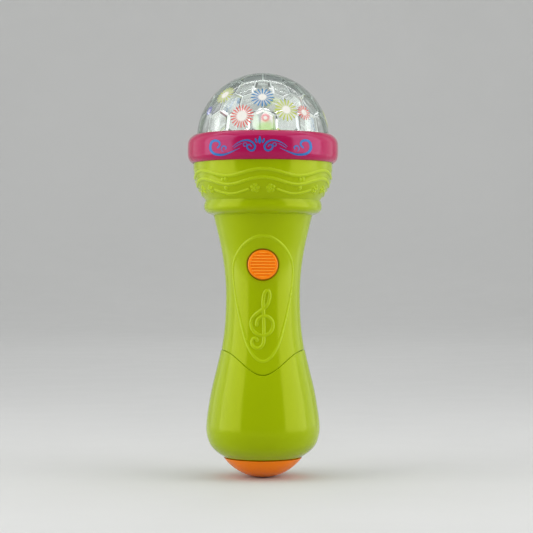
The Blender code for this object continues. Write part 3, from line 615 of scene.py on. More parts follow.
FRAME_KEYS = [(0.0, 128.1), (3.8, 127.4), (7.5, 125.4), (10.9, 122.4), (13.5, 118.7), (15.2, 114.4),
              (15.8, 109.8), (15.5, 103.9), (14.5, 96.4), (13.0, 89.0), (11.2, 81.5), (9.1, 74.0),
              (6.9, 68.8), (4.5, 65.2), (2.2, 63.3), (0.0, 62.7)]
CLEF_KEYS = [(-2.9, 80.6), (-3.3, 82.4), (-2.4, 84.6), (0.0, 86.1), (2.5, 85.8), (4.4, 84.3), (5.3, 81.9),
             (4.9, 79.3), (3.2, 77.1), (0.6, 76.1), (-1.9, 76.3), (-4.5, 77.9), (-6.0, 80.6), (-6.2, 83.2),
             (-4.8, 86.0), (-1.9, 88.4), (1.1, 90.6), (2.8, 93.0), (3.6, 96.4), (3.3, 98.6), (2.2, 99.4),
             (1.1, 98.5), (0.5, 96.6), (0.15, 93.6), (0.2, 90.2), (0.5, 81.5), (0.55, 75.8), (0.3, 72.4),
             (-0.8, 70.3), (-2.6, 69.4), (-4.7, 70.2), (-5.7, 72.1), (-5.2, 74.1), (-3.8, 74.6),
             (-3.0, 73.6), (-3.5, 72.7)]


def neck_ornaments():
    """The drop-shaped line around the button and the clef below it."""
    left = [(-x, z) for x, z in FRAME_KEYS[1:-1]]
    ring = resample(curve([*FRAME_KEYS, *left[::-1], FRAME_KEYS[0]], 0.1), 0.5)[:-1]
    clef = curve(CLEF_KEYS, 0.28)
    parts = []
    for line, half_width, height, closed in ((ring, 0.82, 0.28, True), (clef, 0.95, 0.55, False)):
        theta = np.arcsin(line[:, 0] / neck_radius(line[:, 1]))
        parts.append(raised_cord(neck_radius, theta, line[:, 1], half_width, height, closed=closed))
    return parts


GRILLE_RADIUS = 13.5
SLOT_HALF_HEIGHT = 0.9


def stadium_edge(x, z, half_length, centre_z, half_height):
    """Distance outside a slot with round ends."""
    return np.hypot(np.clip(np.abs(x) - half_length + half_height, 0.0, None), z - centre_z) - half_height


def sound_slots():
    """Half length and height above the floor of the speaker slots."""
    return [(9.0 - abs(row) * 1.6, SPEAKER_Z + 4.0 * row) for row in (-2, -1, 0, 1, 2)]


def rear_relief(theta, z, x):
    """The cup's waves fade out around a plain round grille, whose slots have soft edges."""
    from_grille = np.hypot(x, z - SPEAKER_Z)
    height = cup_relief(theta, z) * smooth_step(from_grille, GRILLE_RADIUS, GRILLE_RADIUS + 3.0)
    height = np.maximum(height, 0.45 * bead_shape(from_grille - GRILLE_RADIUS, 0.8))
    for half_length, centre_z in sound_slots():
        edge = stadium_edge(x, z, half_length, centre_z, SLOT_HALF_HEIGHT)
        height = height - 0.25 * near_edge(edge, 0.6)
    beside, above = np.abs(x) - 1.6, np.abs(z - SWITCH_MIDDLE_Z) - 3.3
    edge = np.hypot(np.clip(beside, 0, None), np.clip(above, 0, None)) - 0.5
    return height - 0.25 * near_edge(edge, 0.6)


# Body shells

LIP = 0.5
SCREW_HOLE_RADIUS = 1.6
SCREW_HEAD_HOLE_RADIUS = 2.8


def shell_rows(seam_z):
    """Radius and height of every row of a body shell, for columns whose seam is at these heights.

    Returns the two grids and the number of rows that are on the outside.
    """
    columns = len(seam_z)
    upper_neck = np.concatenate([np.arange(139.3, 124.0, -0.9), np.arange(124.0, 102.0, -0.4),
                                 np.arange(102.0, 70.0, -0.9)])[1:]
    fixed = np.vstack([[(36.9, RIM_TOP_Z), (36.9, 168.6)], curve(CUP_KEYS, 0.4), curve(BEAD_KEYS, 0.45)[1:],
                       np.stack([neck_radius(upper_neck), upper_neck], axis=1)])
    r = [np.full(columns, row[0]) for row in fixed]
    z = [np.full(columns, row[1]) for row in fixed]
    start_z, lip_z = fixed[-1][1], seam_z + LIP
    for share in np.linspace(0.0, 1.0, 40)[1:]:
        z.append(start_z + (lip_z - start_z) * share)
        r.append(neck_radius(z[-1]))
    lip_r = r[-1]
    for turn in np.linspace(0.0, pi / 2, 6)[1:]:
        z.append(lip_z - LIP * sin(turn))
        r.append(lip_r - LIP * (1.0 - cos(turn)))
    outside = len(r)
    r.append(np.full(columns, 20.0))
    z.append(seam_z)
    for radius, height in [(20.0, LINER_LOW_Z), (18.0, LINER_LOW_Z), *SHELL_INSIDE]:
        r.append(np.full(columns, radius))
        z.append(np.full(columns, height))
    return np.stack(r, axis=1), np.stack(z, axis=1), outside


def raised(r, z, outside, height):
    """Moves the outside rows along their normals by height."""
    run, rise = np.gradient(r[:, :outside], axis=1), np.gradient(z[:, :outside], axis=1)
    length = np.hypot(run, rise)
    r[:, :outside] += height * -rise / length
    z[:, :outside] += height * run / length


def half_shell(name, theta, relief, seam_shift):
    """One half of the body as a closed wall. Its flat edges stop PARTING_GAP short of the middle plane."""
    facing = 1.0 if cos(theta[len(theta) // 2]) > 0.0 else -1.0
    r, z, outside = shell_rows(seam_of_columns(theta, neck_radius) + seam_shift)
    angle = theta[:, None] + 0.0 * z
    x = r * np.sin(angle)
    height = relief(angle[:, :outside], z[:, :outside], x[:, :outside])
    height[:, -8:] = 0.0
    height[[0, -1]] -= 0.2
    raised(r, z, outside, height)
    x = r * np.sin(angle)
    y = -facing * (PARTING_GAP + (r - PARTING_GAP) * np.abs(np.cos(angle)))
    columns, rows = r.shape
    faces = grid_faces(columns, rows, around=False) + end_faces(columns, rows)
    return new_object(name, np.stack([x, y, z], axis=-1).reshape(-1, 3), faces, [GREEN])


def boss_space():
    """Solid inside of the body, a little short of its outer surface."""
    top_z, wall = 171.5, 1.0
    outer = [(36.9, top_z), *CUP_KEYS[1:-1], *BEAD_KEYS[:-1], *NECK_KEYS[:-2]]
    profile = [(0.0, top_z), *[(radius - wall, z) for radius, z in outer], (0.0, outer[-1][1])]
    return turned("boss_space", profile, (), hollow=False)


def add_bosses(shell, rods):
    """Fuses round bosses of (x, z, radius, first y, last y) to the inside of a shell."""
    bosses = [prism("boss", circle(x, z, radius), low, high) for x, z, radius, low, high in rods]
    for boss in bosses:
        combine(boss, boss_space(), "INTERSECT")
        combine(shell, boss, "UNION")


def body_screw_places():
    """(x, z, seat y) of the screws between the half shells."""
    places = []
    for name in BODY_SCREWS:
        low, high = span(name)
        places.append(((low[0] + high[0]) / 2, (low[2] + high[2]) / 2, high[1] - 1.6 - GAP))
    return places


def make_front_shell():
    share = np.linspace(-1.0, 1.0, 240)
    theta = pi / 2 * (0.68 * share + 0.32 * share**3)

    def relief(angle, z, x):
        edge = np.hypot(x, z - BUTTON_Z) - BUTTON_HOLE_RADIUS
        return cup_relief(angle, z) - 0.35 * near_edge(edge, 0.8)

    shell = half_shell("front_shell", theta, relief, SEAM_GAP / 2)
    screw_boss, board_boss, button_guide, guide_bore = 3.0, 2.4, 11.2, 9.7
    rods = [(x, z, screw_boss, -36.0, -GAP / 2) for x, z, _ in body_screw_places()]
    rods += [(0.0, middle(name)[2], board_boss, -26.0, span("main_board")[0][1] - GAP)
             for name in ("board_screw_lower", "board_screw_upper")]
    rods.append((0.0, BUTTON_Z, button_guide, -22.0, -12.6))
    add_bosses(shell, rods)
    combine(shell, prism("guide_bore", circle(0.0, BUTTON_Z, guide_bore, 64), -17.2, -12.0))
    combine(shell, prism("button_hole", circle(0.0, BUTTON_Z, BUTTON_HOLE_RADIUS, 96), -30.0, -10.0))
    shell = join("front_shell", [shell, *cup_ornaments(-90.0, 90.0), *neck_ornaments()])
    return place(shell, "body", "green_plastic", "body_front_shell")


def make_rear_shell():
    theta = np.linspace(pi / 2, 3 * pi / 2, 230)
    shell = half_shell("rear_shell", theta, rear_relief, SEAM_GAP / 2)
    places = body_screw_places()
    add_bosses(shell, [(x, z, 4.1 if z > 100.0 else 3.6, GAP / 2, 36.0) for x, z, _ in places])
    for x, z, seat_y in places:
        combine(shell, prism("clearance", circle(x, z, SCREW_HOLE_RADIUS), -1.0, 12.0))
        combine(shell, prism("counterbore", circle(x, z, SCREW_HEAD_HOLE_RADIUS), seat_y, 40.0))
    for half_length, z in sound_slots():
        ends = half_length - SLOT_HALF_HEIGHT
        turn = full_circle(24) + 0.01
        arc = SLOT_HALF_HEIGHT * np.stack([np.cos(turn), np.sin(turn)], axis=1)
        outline = [(copysign(ends, across) + across, z + up) for across, up in arc]
        combine(shell, prism("sound_slot", outline, 26.0, 45.0))
    combine(shell, prism("switch_slot", rounded(rectangle(0.0, SWITCH_MIDDLE_Z, 2.1, 3.8), 0.5), 16.6, 30.0))
    shell = join("rear_shell", [shell, *cup_ornaments(90.0, 153.0), *cup_ornaments(207.0, 270.0)])
    return place(shell, "body", "green_plastic", "body_rear_shell")


# Handle sleeve, battery door and end cap

DOOR_HIGH = span("battery_door")[1]
DOOR_HALF_WIDTH = DOOR_HIGH[0] + GAP
DOOR_LOW_Z, DOOR_HIGH_Z = 17.0, DOOR_HIGH[2] + GAP
DOOR_CORNER = 3.5


def door_edge(x, z):
    """Distance outside the door's opening; negative inside it."""
    dx = np.abs(x) - DOOR_HALF_WIDTH + DOOR_CORNER
    dz = np.abs(z - (DOOR_LOW_Z + DOOR_HIGH_Z) / 2) - (DOOR_HIGH_Z - DOOR_LOW_Z) / 2 + DOOR_CORNER
    outside = np.hypot(np.clip(dx, 0.0, None), np.clip(dz, 0.0, None))
    return outside + np.minimum(np.maximum(dx, dz), 0.0) - DOOR_CORNER


def door_outline(inset):
    half, radius = DOOR_HALF_WIDTH - inset, DOOR_CORNER - inset
    low, high = DOOR_LOW_Z + inset, DOOR_HIGH_Z - inset
    corners = [(half - radius, low + radius, -90), (half - radius, high - radius, 0),
               (-half + radius, high - radius, 90), (-half + radius, low + radius, 180)]
    points = []
    for x, z, first in corners:
        for step in range(9):
            turn = radians(first + 11.25 * step)
            points.append((x + radius * cos(turn), z + radius * sin(turn)))
    return points


def make_sleeve():
    columns = 280
    theta = np.linspace(-pi, pi, columns, endpoint=False)
    seam_z = seam_of_columns(theta, sleeve_radius) - SEAM_GAP / 2
    lip_z = seam_z - LIP
    r, z = [], []
    for turn in np.linspace(0.0, pi / 2, 6):
        z.append(lip_z + LIP * cos(turn))
        r.append(sleeve_radius(lip_z) - LIP * (1.0 - sin(turn)))
    fixed = curve(SLEEVE_KEYS, 0.45)
    fixed = fixed[fixed[:, 1] < 45.0]
    for share in np.linspace(0.0, 1.0, 50)[1:-1]:
        z.append(lip_z + (fixed[0][1] - lip_z) * share)
        r.append(sleeve_radius(z[-1]))
    for radius, height in fixed:
        r.append(np.full(columns, radius))
        z.append(np.full(columns, height))
    outside = len(r)
    for radius, height in SLEEVE_INSIDE[:-1]:
        r.append(np.full(columns, radius))
        z.append(np.minimum(height, seam_z - 1.0))
    r.append(np.full(columns, 20.35) + 0.229 * (SEAM_HIGH_Z - seam_z))
    z.append(seam_z)
    r, z = np.stack(r, axis=1), np.stack(z, axis=1)
    edge = door_edge(r * np.sin(theta[:, None]), z)[:, :outside]
    height = np.where(np.cos(theta[:, None]) < 0.0, -0.3 * near_edge(edge, 0.6), 0.0)
    raised(r, z, outside, height)
    verts = about_axis(r, theta[:, None], z).reshape(-1, 3)
    sleeve = new_object("sleeve", verts, grid_faces(columns, r.shape[1]), [GREEN])
    combine(sleeve, prism("door_opening", door_outline(0.0), 5.0, 45.0))
    return place(sleeve, "body", "green_plastic", "handle_sleeve")


def make_door():
    """The battery door: a piece of the sleeve's wall with grip ribs, a screw boss and two hooks."""
    theta = pi + np.radians(np.linspace(-34.0, 34.0, 150))
    outer = curve(SLEEVE_KEYS, 0.32)
    outer = outer[(outer[:, 1] > 14.6) & (outer[:, 1] < 66.0)]
    inner = [(radius, height) for radius, height in SLEEVE_INSIDE if 15.0 < height < 66.0]
    rows = np.vstack([outer, inner])
    r = np.tile(rows[:, 0], (len(theta), 1))
    z = np.tile(rows[:, 1], (len(theta), 1))
    outside = len(outer)
    x = (r * np.sin(theta[:, None]))[:, :outside]
    height = np.zeros(x.shape)
    for step in range(5):
        along = np.clip(np.abs(x) - 5.5 + 0.5 * step, 0.0, None)
        rib = np.hypot(along, z[:, :outside] - 50.0 + 2.0 * step)
        height = np.maximum(height, 0.5 * bead_shape(rib, 0.7))
    edge = -door_edge(x, z[:, :outside]) - GAP
    height = height - 0.3 * near_edge(edge, 0.6)
    raised(r, z, outside, height)
    verts = about_axis(r, theta[:, None], z).reshape(-1, 3)
    door = new_object("door", verts, grid_faces(*r.shape, around=False) + end_faces(*r.shape), [GREEN])
    combine(door, prism("door_shape", door_outline(GAP), 5.0, 45.0), "INTERSECT")
    screw_z, seat_y = middle("battery_door_screw")[2], span("battery_door_screw")[1][1] - 1.5 - GAP
    combine(door, prism("boss", circle(0.0, screw_z, 3.6), 15.2, 24.2), "UNION")
    for side in (-6.0, 6.0):
        combine(door, prism("foot", rectangle(side, 19.6, 2.0, 0.7), 20.5, 26.8), "UNION")
        combine(door, prism("hook", rectangle(side, 17.75, 1.6, 1.95), 20.8, 22.2), "UNION")
    combine(door, prism("clearance", circle(0.0, screw_z, SCREW_HOLE_RADIUS), 14.0, 30.0))
    combine(door, prism("counterbore", circle(0.0, screw_z, SCREW_HEAD_HOLE_RADIUS), seat_y, 30.0))
    return place(door, "door", "green_plastic", "battery_door")


def make_end_cap():
    """A shallow ball with a small flat to stand on and a spigot that plugs the sleeve."""
    radius, edge_radius, flat_radius, wall = 26.0, 20.9, 3.0, 2.0
    centre_z = sqrt(radius**2 - flat_radius**2)
    arc = np.linspace(asin(edge_radius / radius), asin(flat_radius / radius), 40)
    outer = [(radius * sin(turn), centre_z - radius * cos(turn)) for turn in arc]
    arc = np.radians(np.linspace(4.0, 42.0, 16))
    inner = [((radius - wall) * sin(turn), centre_z - (radius - wall) * cos(turn)) for turn in arc]
    edge_z = outer[0][1]
    lip = rounded([(16.6, 14.2), (18.5, 14.2), (18.5, 10.6), (edge_radius, edge_z + 0.02)], 0.3, closed=False)
    profile = [(0.0, wall), *inner, *lip[:-1], (edge_radius - 0.5, edge_z),
               (edge_radius - 0.12, edge_z - 0.1), *outer[1:], (0.0, 0.0)]
    cap = turned("bottom_cap", profile, [ORANGE], segments=160, hollow=False)
    return place(cap, "body", "orange_plastic", "end_cap")


# Bezel ring and its flourish


def make_ring():
    inner = [(37.3, 166.9), (37.3, 168.6), (36.6, 168.8), (36.6, 169.5), (37.3, 169.8), (37.3, 179.9),
             (35.55, 179.9)]
    ring = turned("ring", [*curve(RING_KEYS, 0.35), *inner], [MAGENTA], segments=288)
    return place(ring, "body", "magenta_plastic", "bezel_ring")


FLOURISH_TURN = radians(-2.2)
FLOURISH_Z = 173.7


def on_ring(across, up, lift):
    """A point on the ring's face, from its place in the flourish as seen from the front."""
    z = FLOURISH_Z + up
    return about_axis(ring_radius(z) + lift, np.arcsin(across / ring_radius(z)) + FLOURISH_TURN, z)


def ribbon(name, points, width, side):
    """A printed stroke along the points. width gives its half-width at a share of its length."""
    line = curve(points, 0.18) * (side, 1.0)
    ahead = np.gradient(line, axis=0)
    ahead /= np.linalg.norm(ahead, axis=1)[:, None]
    out = np.stack([-ahead[:, 1], ahead[:, 0]], axis=1)
    half = width(np.linspace(0.0, 1.0, len(line)))[:, None]
    left, right = line + out * half, line - out * half
    section = ((left, 0.05), (line, 0.06), (right, 0.05), (right, -0.1), (left, -0.1))
    verts = np.stack([on_ring(*edge.T, lift) for edge, lift in section], axis=1).reshape(-1, 3)
    faces = grid_faces(len(line), 5, around=False) + end_faces(len(line), 5)
    return new_object(name, verts, faces, [BLUE_INK])


def tapered(start, most, end, peak=0.5):
    """Half-width that grows from start to most at the peak and falls to end."""
    return lambda t: np.where(t < peak, start + (most - start) * np.sin(np.clip(t / peak, 0, 1) * pi / 2),
                              end + (most - end) * np.cos(np.clip((t - peak) / (1 - peak), 0, 1) * pi / 2))


def oval(half_width):
    """Half-width of a stroke that is pointed at both ends."""
    return lambda t: np.maximum(0.03, half_width * np.sqrt(np.clip(1.0 - (2 * t - 1) ** 2, 0.0, 1.0)))


def make_flourish():
    """Mirrored scrolls either side of a small bud, printed on the ring."""
    hook = [(-22.2, -0.9), (-20.8, 0.7), (-21.3, 2.4), (-23.3, 3.1), (-25.1, 2.4), (-25.9, 0.2),
            (-25.5, -1.9), (-23.8, -3.6), (-21.0, -4.3), (-18.2, -4.2), (-14.8, -3.1), (-10.2, -1.2)]
    curl = [(-17.8, -1.75), (-17.45, -0.6), (-18.5, 0.1), (-19.6, -0.46), (-19.85, -1.85), (-18.9, -3.0)]
    scroll = [(-14.1, -0.46), (-11.5, 1.4), (-8.8, 2.5), (-6.0, 2.7), (-3.7, 1.6), (-2.4, -0.3),
              (-3.0, -2.1), (-4.6, -2.6), (-6.2, -1.6), (-6.4, 0.0), (-5.1, 0.46), (-4.1, -0.6)]
    accent = [(-13.6, -1.3), (-11.9, -0.1), (-10.2, 0.75), (-9.0, 1.1)]
    dot = [(-7.5 + 0.92 * cos(turn), 0.55 + 0.92 * sin(turn)) for turn in np.linspace(0.0, 2 * pi, 13)]
    petal = [(-1.35, 1.25), (-1.9, 2.5), (-2.35, 3.75)]
    shapes = ((hook, tapered(0.4, 0.68, 0.1, 0.35)), (curl, tapered(0.26, 0.34, 0.1, 0.3)),
              (scroll, tapered(0.1, 0.5, 0.3, 0.55)), (accent, tapered(0.08, 0.2, 0.06)),
              (dot, tapered(0.2, 0.22, 0.2)), (petal, oval(0.5)))
    strokes = [ribbon("stroke", points, width, side) for side in (1.0, -1.0) for points, width in shapes]
    for heights, half_width in (((0.95, 2.8, 4.1), 0.85), ((3.9, 4.4, 4.9), 0.45)):
        strokes.append(ribbon("bud", [(0.0, up) for up in heights], oval(half_width), 1.0))
    return place(join("ring_flourish", strokes), "body", "magenta_plastic")


# Light dome


def facet_directions():
    """Unit directions of the facets, in rows from the top down, every second row half a facet on."""
    directions = []
    for row, (elevation, count) in enumerate(FACET_ROWS):
        for step in range(count):
            directions.append(direction(360.0 * (step + 0.5 * (row % 2)) / count, elevation))
    return directions


def direction(azimuth, elevation):
    turn, rise = radians(azimuth), radians(elevation)
    return Vector((cos(rise) * sin(turn), -cos(rise) * cos(turn), sin(rise)))


def faceted_ball(name):
    """The dome's inside: facets raised like lenses, with a frosted strip along every edge."""
    hull = bmesh.new()
    for facet in facet_directions():
        hull.verts.new(facet)
    bmesh.ops.convex_hull(hull, input=hull.verts)
    hull.normal_update()
    corners = [face.normal * FACET_INRADIUS * MM / face.normal.dot(face.verts[0].co) for face in hull.faces]
    hull.free()
    bm = bmesh.new()
    for corner in corners:
        bm.verts.new(corner)
    bmesh.ops.remove_doubles(bm, verts=bm.verts, dist=1e-5)
    bmesh.ops.convex_hull(bm, input=bm.verts)
    bmesh.ops.dissolve_limit(bm, angle_limit=radians(1.0), verts=bm.verts, edges=bm.edges)
    bmesh.ops.bevel(bm, geom=bm.edges[:] + bm.verts[:], offset=0.24 * MM, offset_type="OFFSET", segments=1,
                    profile=0.5, affect="EDGES", material=1)
    facets = [face for face in bm.faces if face.material_index == 0]
    bmesh.ops.inset_individual(bm, faces=facets, thickness=1.3 * MM, depth=-0.8 * MM)
    bmesh.ops.translate(bm, verts=bm.verts, vec=Vector((0.0, 0.0, DOME_CENTRE_Z * MM)))
    mesh = bpy.data.meshes.new(name)
    bm.to_mesh(mesh)
    bm.free()
    for material in (DOME_SKIN, FACET_EDGE, FACET):
        mesh.materials.append(material)
    return add_object(name, mesh)


def make_dome():
    flange_radius, flange_high = span("dome_cover")[1][0], DOME_LOW_Z + 1.8
    profile = [(0.0, DOME_CENTRE_Z + DOME_RADIUS)]
    for turn in np.radians(np.linspace(1.5, 90.0, 60)):
        profile.append((DOME_RADIUS * sin(turn), DOME_CENTRE_Z + DOME_RADIUS * cos(turn)))
    profile += [(DOME_RADIUS, flange_high), (flange_radius, flange_high), (flange_radius, DOME_LOW_Z),
                (0.0, DOME_LOW_Z)]
    dome = turned("dome", profile, [DOME_SKIN, FACET_EDGE, FACET], segments=192, hollow=False)
    combine(dome, faceted_ball("facets"))
    centre = Vector((0.0, 0.0, DOME_CENTRE_Z * MM))
    for polygon in dome.data.polygons:
        if (polygon.center - centre).length < 34.6 * MM and polygon.center.z > (DOME_LOW_Z + 0.1) * MM:
            polygon.use_smooth = False
            if polygon.material_index == 0:
                polygon.material_index = 2
    return place(dome, "body", "clear_plastic", "dome_cover")


# Colours of the painted LED glints and glows on the dome.
RED_LIGHT, GREEN_LIGHT, BLUE_LIGHT = (0.7, 0.04, 0.03), (0.47, 0.56, 0.04), (0.0, 0.19, 0.48)
VIOLET_LIGHT = (0.2, 0.15, 0.9)
FILM_RADIUS = 35.25


def dome_patch(azimuth, elevation, diameter, samples, rings):
    """Points on a round patch just outside the dome, with their angle and their share of its radius."""
    toward = direction(azimuth, elevation)
    right = direction(azimuth + 90.0, 0.0)
    up = right.cross(toward)
    angle, share = np.meshgrid(full_circle(samples),
                               np.linspace(0.02, 1.0, rings), indexing="ij")
    flat = np.cos(angle)[..., None] * np.array(right) + np.sin(angle)[..., None] * np.array(up)
    points = np.array(toward) * FILM_RADIUS + flat * share[..., None] * diameter / 2
    points *= FILM_RADIUS / np.linalg.norm(points, axis=-1)[..., None]
    return points, angle, share


def make_painted_light_film(name, points, colour, white, alpha):
    """A film of painted light on the dome, with a front and a back."""
    samples, rings = alpha.shape
    centre = np.array((0.0, 0.0, DOME_CENTRE_Z))
    count = samples * rings
    verts = np.vstack([(centre + points * depth).reshape(-1, 3) for depth in (1.0, 0.999)])
    faces = grid_faces(samples, rings, loop=False) + grid_faces(samples, rings, loop=False, first=count)
    for edge in (0, rings - 1):
        rim = [column * rings + edge for column in range(samples)]
        faces += [[a, b, b + count, a + count] for a, b in zip(rim, rim[1:] + rim[:1])]
    film = new_object(name, verts, faces, [LIGHT])
    white = white[..., None]
    tint = np.array(colour) * (1.0 - white) + np.array((0.9, 0.88, 0.82)) * white
    half = 1.0 - np.sqrt(1.0 - np.clip(alpha, 0.0, 0.99))
    values = np.concatenate([tint, half[..., None]], axis=-1).reshape(-1)
    glow = film.data.color_attributes.new("glow", "FLOAT_COLOR", "POINT")
    glow.data.foreach_set("color", np.tile(values, 2))
    return place(film, "body", "clear_plastic")


def make_starburst(name, azimuth, elevation, diameter, colour, petals=18, core_share=0.46):
    """A painted glint of a lit LED: a pale core, petals and a faint halo."""
    points, angle, share = dome_patch(azimuth, elevation, diameter, petals * 8, 22)
    core = 1.0 - smooth_step(share, core_share - 0.16, core_share)
    petal = smooth_step(np.cos(petals * angle), -0.5 + 0.6 * share, 0.1 + 0.6 * share)
    ray = petal * smooth_step(share, core_share - 0.12, core_share) * (1.0 - smooth_step(share, 0.84, 1.0))
    halo = 0.6 * (1.0 - smooth_step(share, 0.5, 1.0))
    alpha = 1.0 - (1.0 - 0.9 * core) * (1.0 - 0.98 * ray) * (1.0 - halo)
    return make_painted_light_film(name, points, colour, np.clip(core + 0.85 * (1.0 - petal), 0.0, 1.0), alpha)


def make_glow(name, azimuth, elevation, diameter, colour, density, core=0.0, even=0.15):
    """A round patch of painted light, even up to a share of its radius and fading out from there."""
    points, _, share = dome_patch(azimuth, elevation, diameter, 48, 16)
    white = core * (1.0 - smooth_step(share, 0.2, 0.5))
    return make_painted_light_film(name, points, colour, white, density * (1.0 - smooth_step(share, even, 1.0)))


def make_painted_dome_glints():
    """Painted glints and glows of the lit LEDs on the dome: bursts and patches of light at the front, then a
    loose ring of bursts behind.
    """
    make_starburst("light_red_front", -18.7, 16.0, 13.7, RED_LIGHT, petals=20, core_share=0.5)
    make_starburst("light_blue_front", -0.5, 34.0, 12.8, BLUE_LIGHT, petals=16, core_share=0.42)
    make_starburst("light_green_front", 21.8, 21.8, 13.4, GREEN_LIGHT, petals=16, core_share=0.42)
    make_starburst("light_red_right", 40.2, 20.0, 8.8, RED_LIGHT, petals=14)
    make_starburst("light_green_left", -45.5, 38.3, 11.8, GREEN_LIGHT, petals=16)
    make_glow("light_violet_left", -59.9, 23.0, 6.4, VIOLET_LIGHT, 0.6, 0.8)
    make_glow("light_red_tip", 2.2, 14.1, 6.2, (0.85, 0.06, 0.1), 0.9, 1.0)
    make_glow("light_green_base", 3.0, 4.6, 13.0, (0.36, 0.7, 0.1), 0.62, even=0.3)
    colours = (GREEN_LIGHT, RED_LIGHT, BLUE_LIGHT)
    scatter = random.Random(7)
    for index in range(8):
        azimuth = 88.0 + 26.0 * index + scatter.uniform(-5.0, 5.0)
        elevation = (20.0, 40.0)[index % 2] + scatter.uniform(-3.0, 3.0)
        diameter = scatter.uniform(8.0, 12.5)
        make_starburst(f"light_back_{index + 1}", azimuth, elevation, diameter, colours[index % 3])


def make_leds():
    """Three 5 mm LEDs with a flange, a barrel and a round end."""
    for name, material in (("led_red", LED_RED), ("led_green", LED_GREEN), ("led_blue", LED_BLUE)):
        low, high = span(name)
        radius, flange, foot = 2.5, (high[0] - low[0]) / 2, low[2]
        profile = [(0.0, high[2])]
        for turn in np.radians(np.linspace(8.0, 90.0, 12)):
            profile.append((radius * sin(turn), high[2] - radius + radius * cos(turn)))
        profile += [(radius, foot + 1.1), (flange, foot + 0.9), (flange, foot + 0.1), (flange - 0.1, foot),
                    (0.0, foot)]
        led = turned(name.replace("led_", "lamp_"), profile, [material], segments=40, hollow=False)
        centre = middle(name)
        led.data.transform(Matrix.Translation(Vector((centre[0], centre[1], 0.0)) * MM))
        place(led, "body", name, name)


# Button


def make_button():
    """A round cap with a soft rim and straight ribs across its face. The rib crests take a lighter orange, a
    painted highlight.
    """
    radius, rib_radius, pitch, depth = 7.85, 6.6, 1.57, 0.55
    flange_face, flange_back, wall, stem_radius = 5.8, 7.0, 1.4, 3.0
    stem_end = span("button_cap")[1][1] - BUTTON_FACE_Y
    rings = np.concatenate([np.linspace(0.0, rib_radius + 0.2, 54), [6.9, 7.05]])
    rim = [(radius - 0.8 + 0.8 * sin(turn), -0.8 + 0.8 * cos(turn))
           for turn in np.linspace(0.0, pi / 2, 8)]
    rest = [(radius, -flange_face), (9.2, -flange_face), (9.2, -flange_back), (radius - wall, -flange_back),
            (radius - wall, -2.2), (stem_radius, -2.2), (stem_radius, -stem_end + 0.3),
            (stem_radius - 0.3, -stem_end), (0.0, -stem_end)]
    profile = np.array([*[(ring, 0.0) for ring in rings[:-1]], *rim, *rest])
    segments = 240
    theta = full_circle(segments)[:, None]
    across, up = profile[:, 0] * np.sin(theta), profile[:, 0] * np.cos(theta)
    height = profile[:, 1] + 0.0 * theta
    rib = 0.5 + 0.5 * np.cos(2 * pi * up / pitch)
    inside = 1.0 - smooth_step(profile[:, 0] + 0.0 * theta, rib_radius - 0.35, rib_radius + 0.1)
    height = height - np.where(height > -0.01, depth * inside * smooth_step(1.0 - rib, 0.1, 0.75), 0.0)
    verts = np.stack([across, BUTTON_FACE_Y - height, BUTTON_Z + up], axis=-1).reshape(-1, 3)
    # Faces on the rib crests get the lighter orange, a painted highlight.
    painted_highlight_crest = (rib > 0.7) & (inside > 0.5) & (profile[:, 1] + 0.0 * theta > -0.01)
    cap = new_object("push_button", verts, grid_faces(segments, len(profile), loop=False),
                     [ORANGE, ORANGE_RIB_HIGHLIGHT], slots=painted_highlight_crest[:, :-1].reshape(-1), crease=40.0)
    return place(cap, "button", "orange_plastic", "button_cap")


def make_button_pad():
    """The silicone dome between the button's stem and the board, which the button presses flat."""
    front_y = span("button_pad")[1][1]
    thickness, travel, margin = 2.3, 1.5, 0.15
    corners = [(0.0, thickness), (3.4, thickness), (4.4, 0.9), (6.6, 0.9), (6.6, 0.0), (0.0, 0.0)]
    pad = turned("silicone_pad", rounded(corners, 0.35, closed=False), [SILICONE], segments=64, hollow=False)
    lay_along_y(pad, 0.0, front_y, BUTTON_Z, forward=True)
    place(pad, "body", "silicone", "button_pad")
    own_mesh(pad)


# Screws and switch


def make_screw(name, node, body, head_radius, head_high):
    """A pan-head screw with a cross recess, pointing forwards."""
    low, high = span(node)
    length = high[1] - low[1] - head_high
    shank = 1.25
    head = [(0.0, head_high), (head_radius * 0.55, head_high * 0.97), (head_radius * 0.85, head_high * 0.75),
            (head_radius, head_high * 0.4), (head_radius, 0.0)]
    thread = []
    for step in range(int((length - 2.0) / 0.5)):
        thread += [(shank - 0.25, -0.4 - 0.5 * step), (shank, -0.65 - 0.5 * step)]
    profile = [*head, (shank - 0.25, 0.0), *thread, (0.4, -length + 0.3), (0.0, -length)]
    screw = turned(name, profile, [STEEL], segments=32, hollow=False)
    arm, half = head_radius * 0.62, head_radius * 0.13
    cross = []
    for quarter in range(4):
        turn = radians(90.0 * quarter)
        for along, out in ((half, half), (arm, half), (arm, -half)):
            cross.append((along * cos(turn) + out * sin(turn), out * cos(turn) - along * sin(turn)))
    recess = prism("recess", cross, -head_high - 1.0, -head_high * 0.3)
    recess.data.transform(Matrix.Rotation(radians(-90.0), 4, "X"))
    combine(screw, recess)
    lay_along_y(screw, (low[0] + high[0]) / 2, high[1] - head_high, (low[2] + high[2]) / 2)
    return place(screw, body, "plated_steel", node)


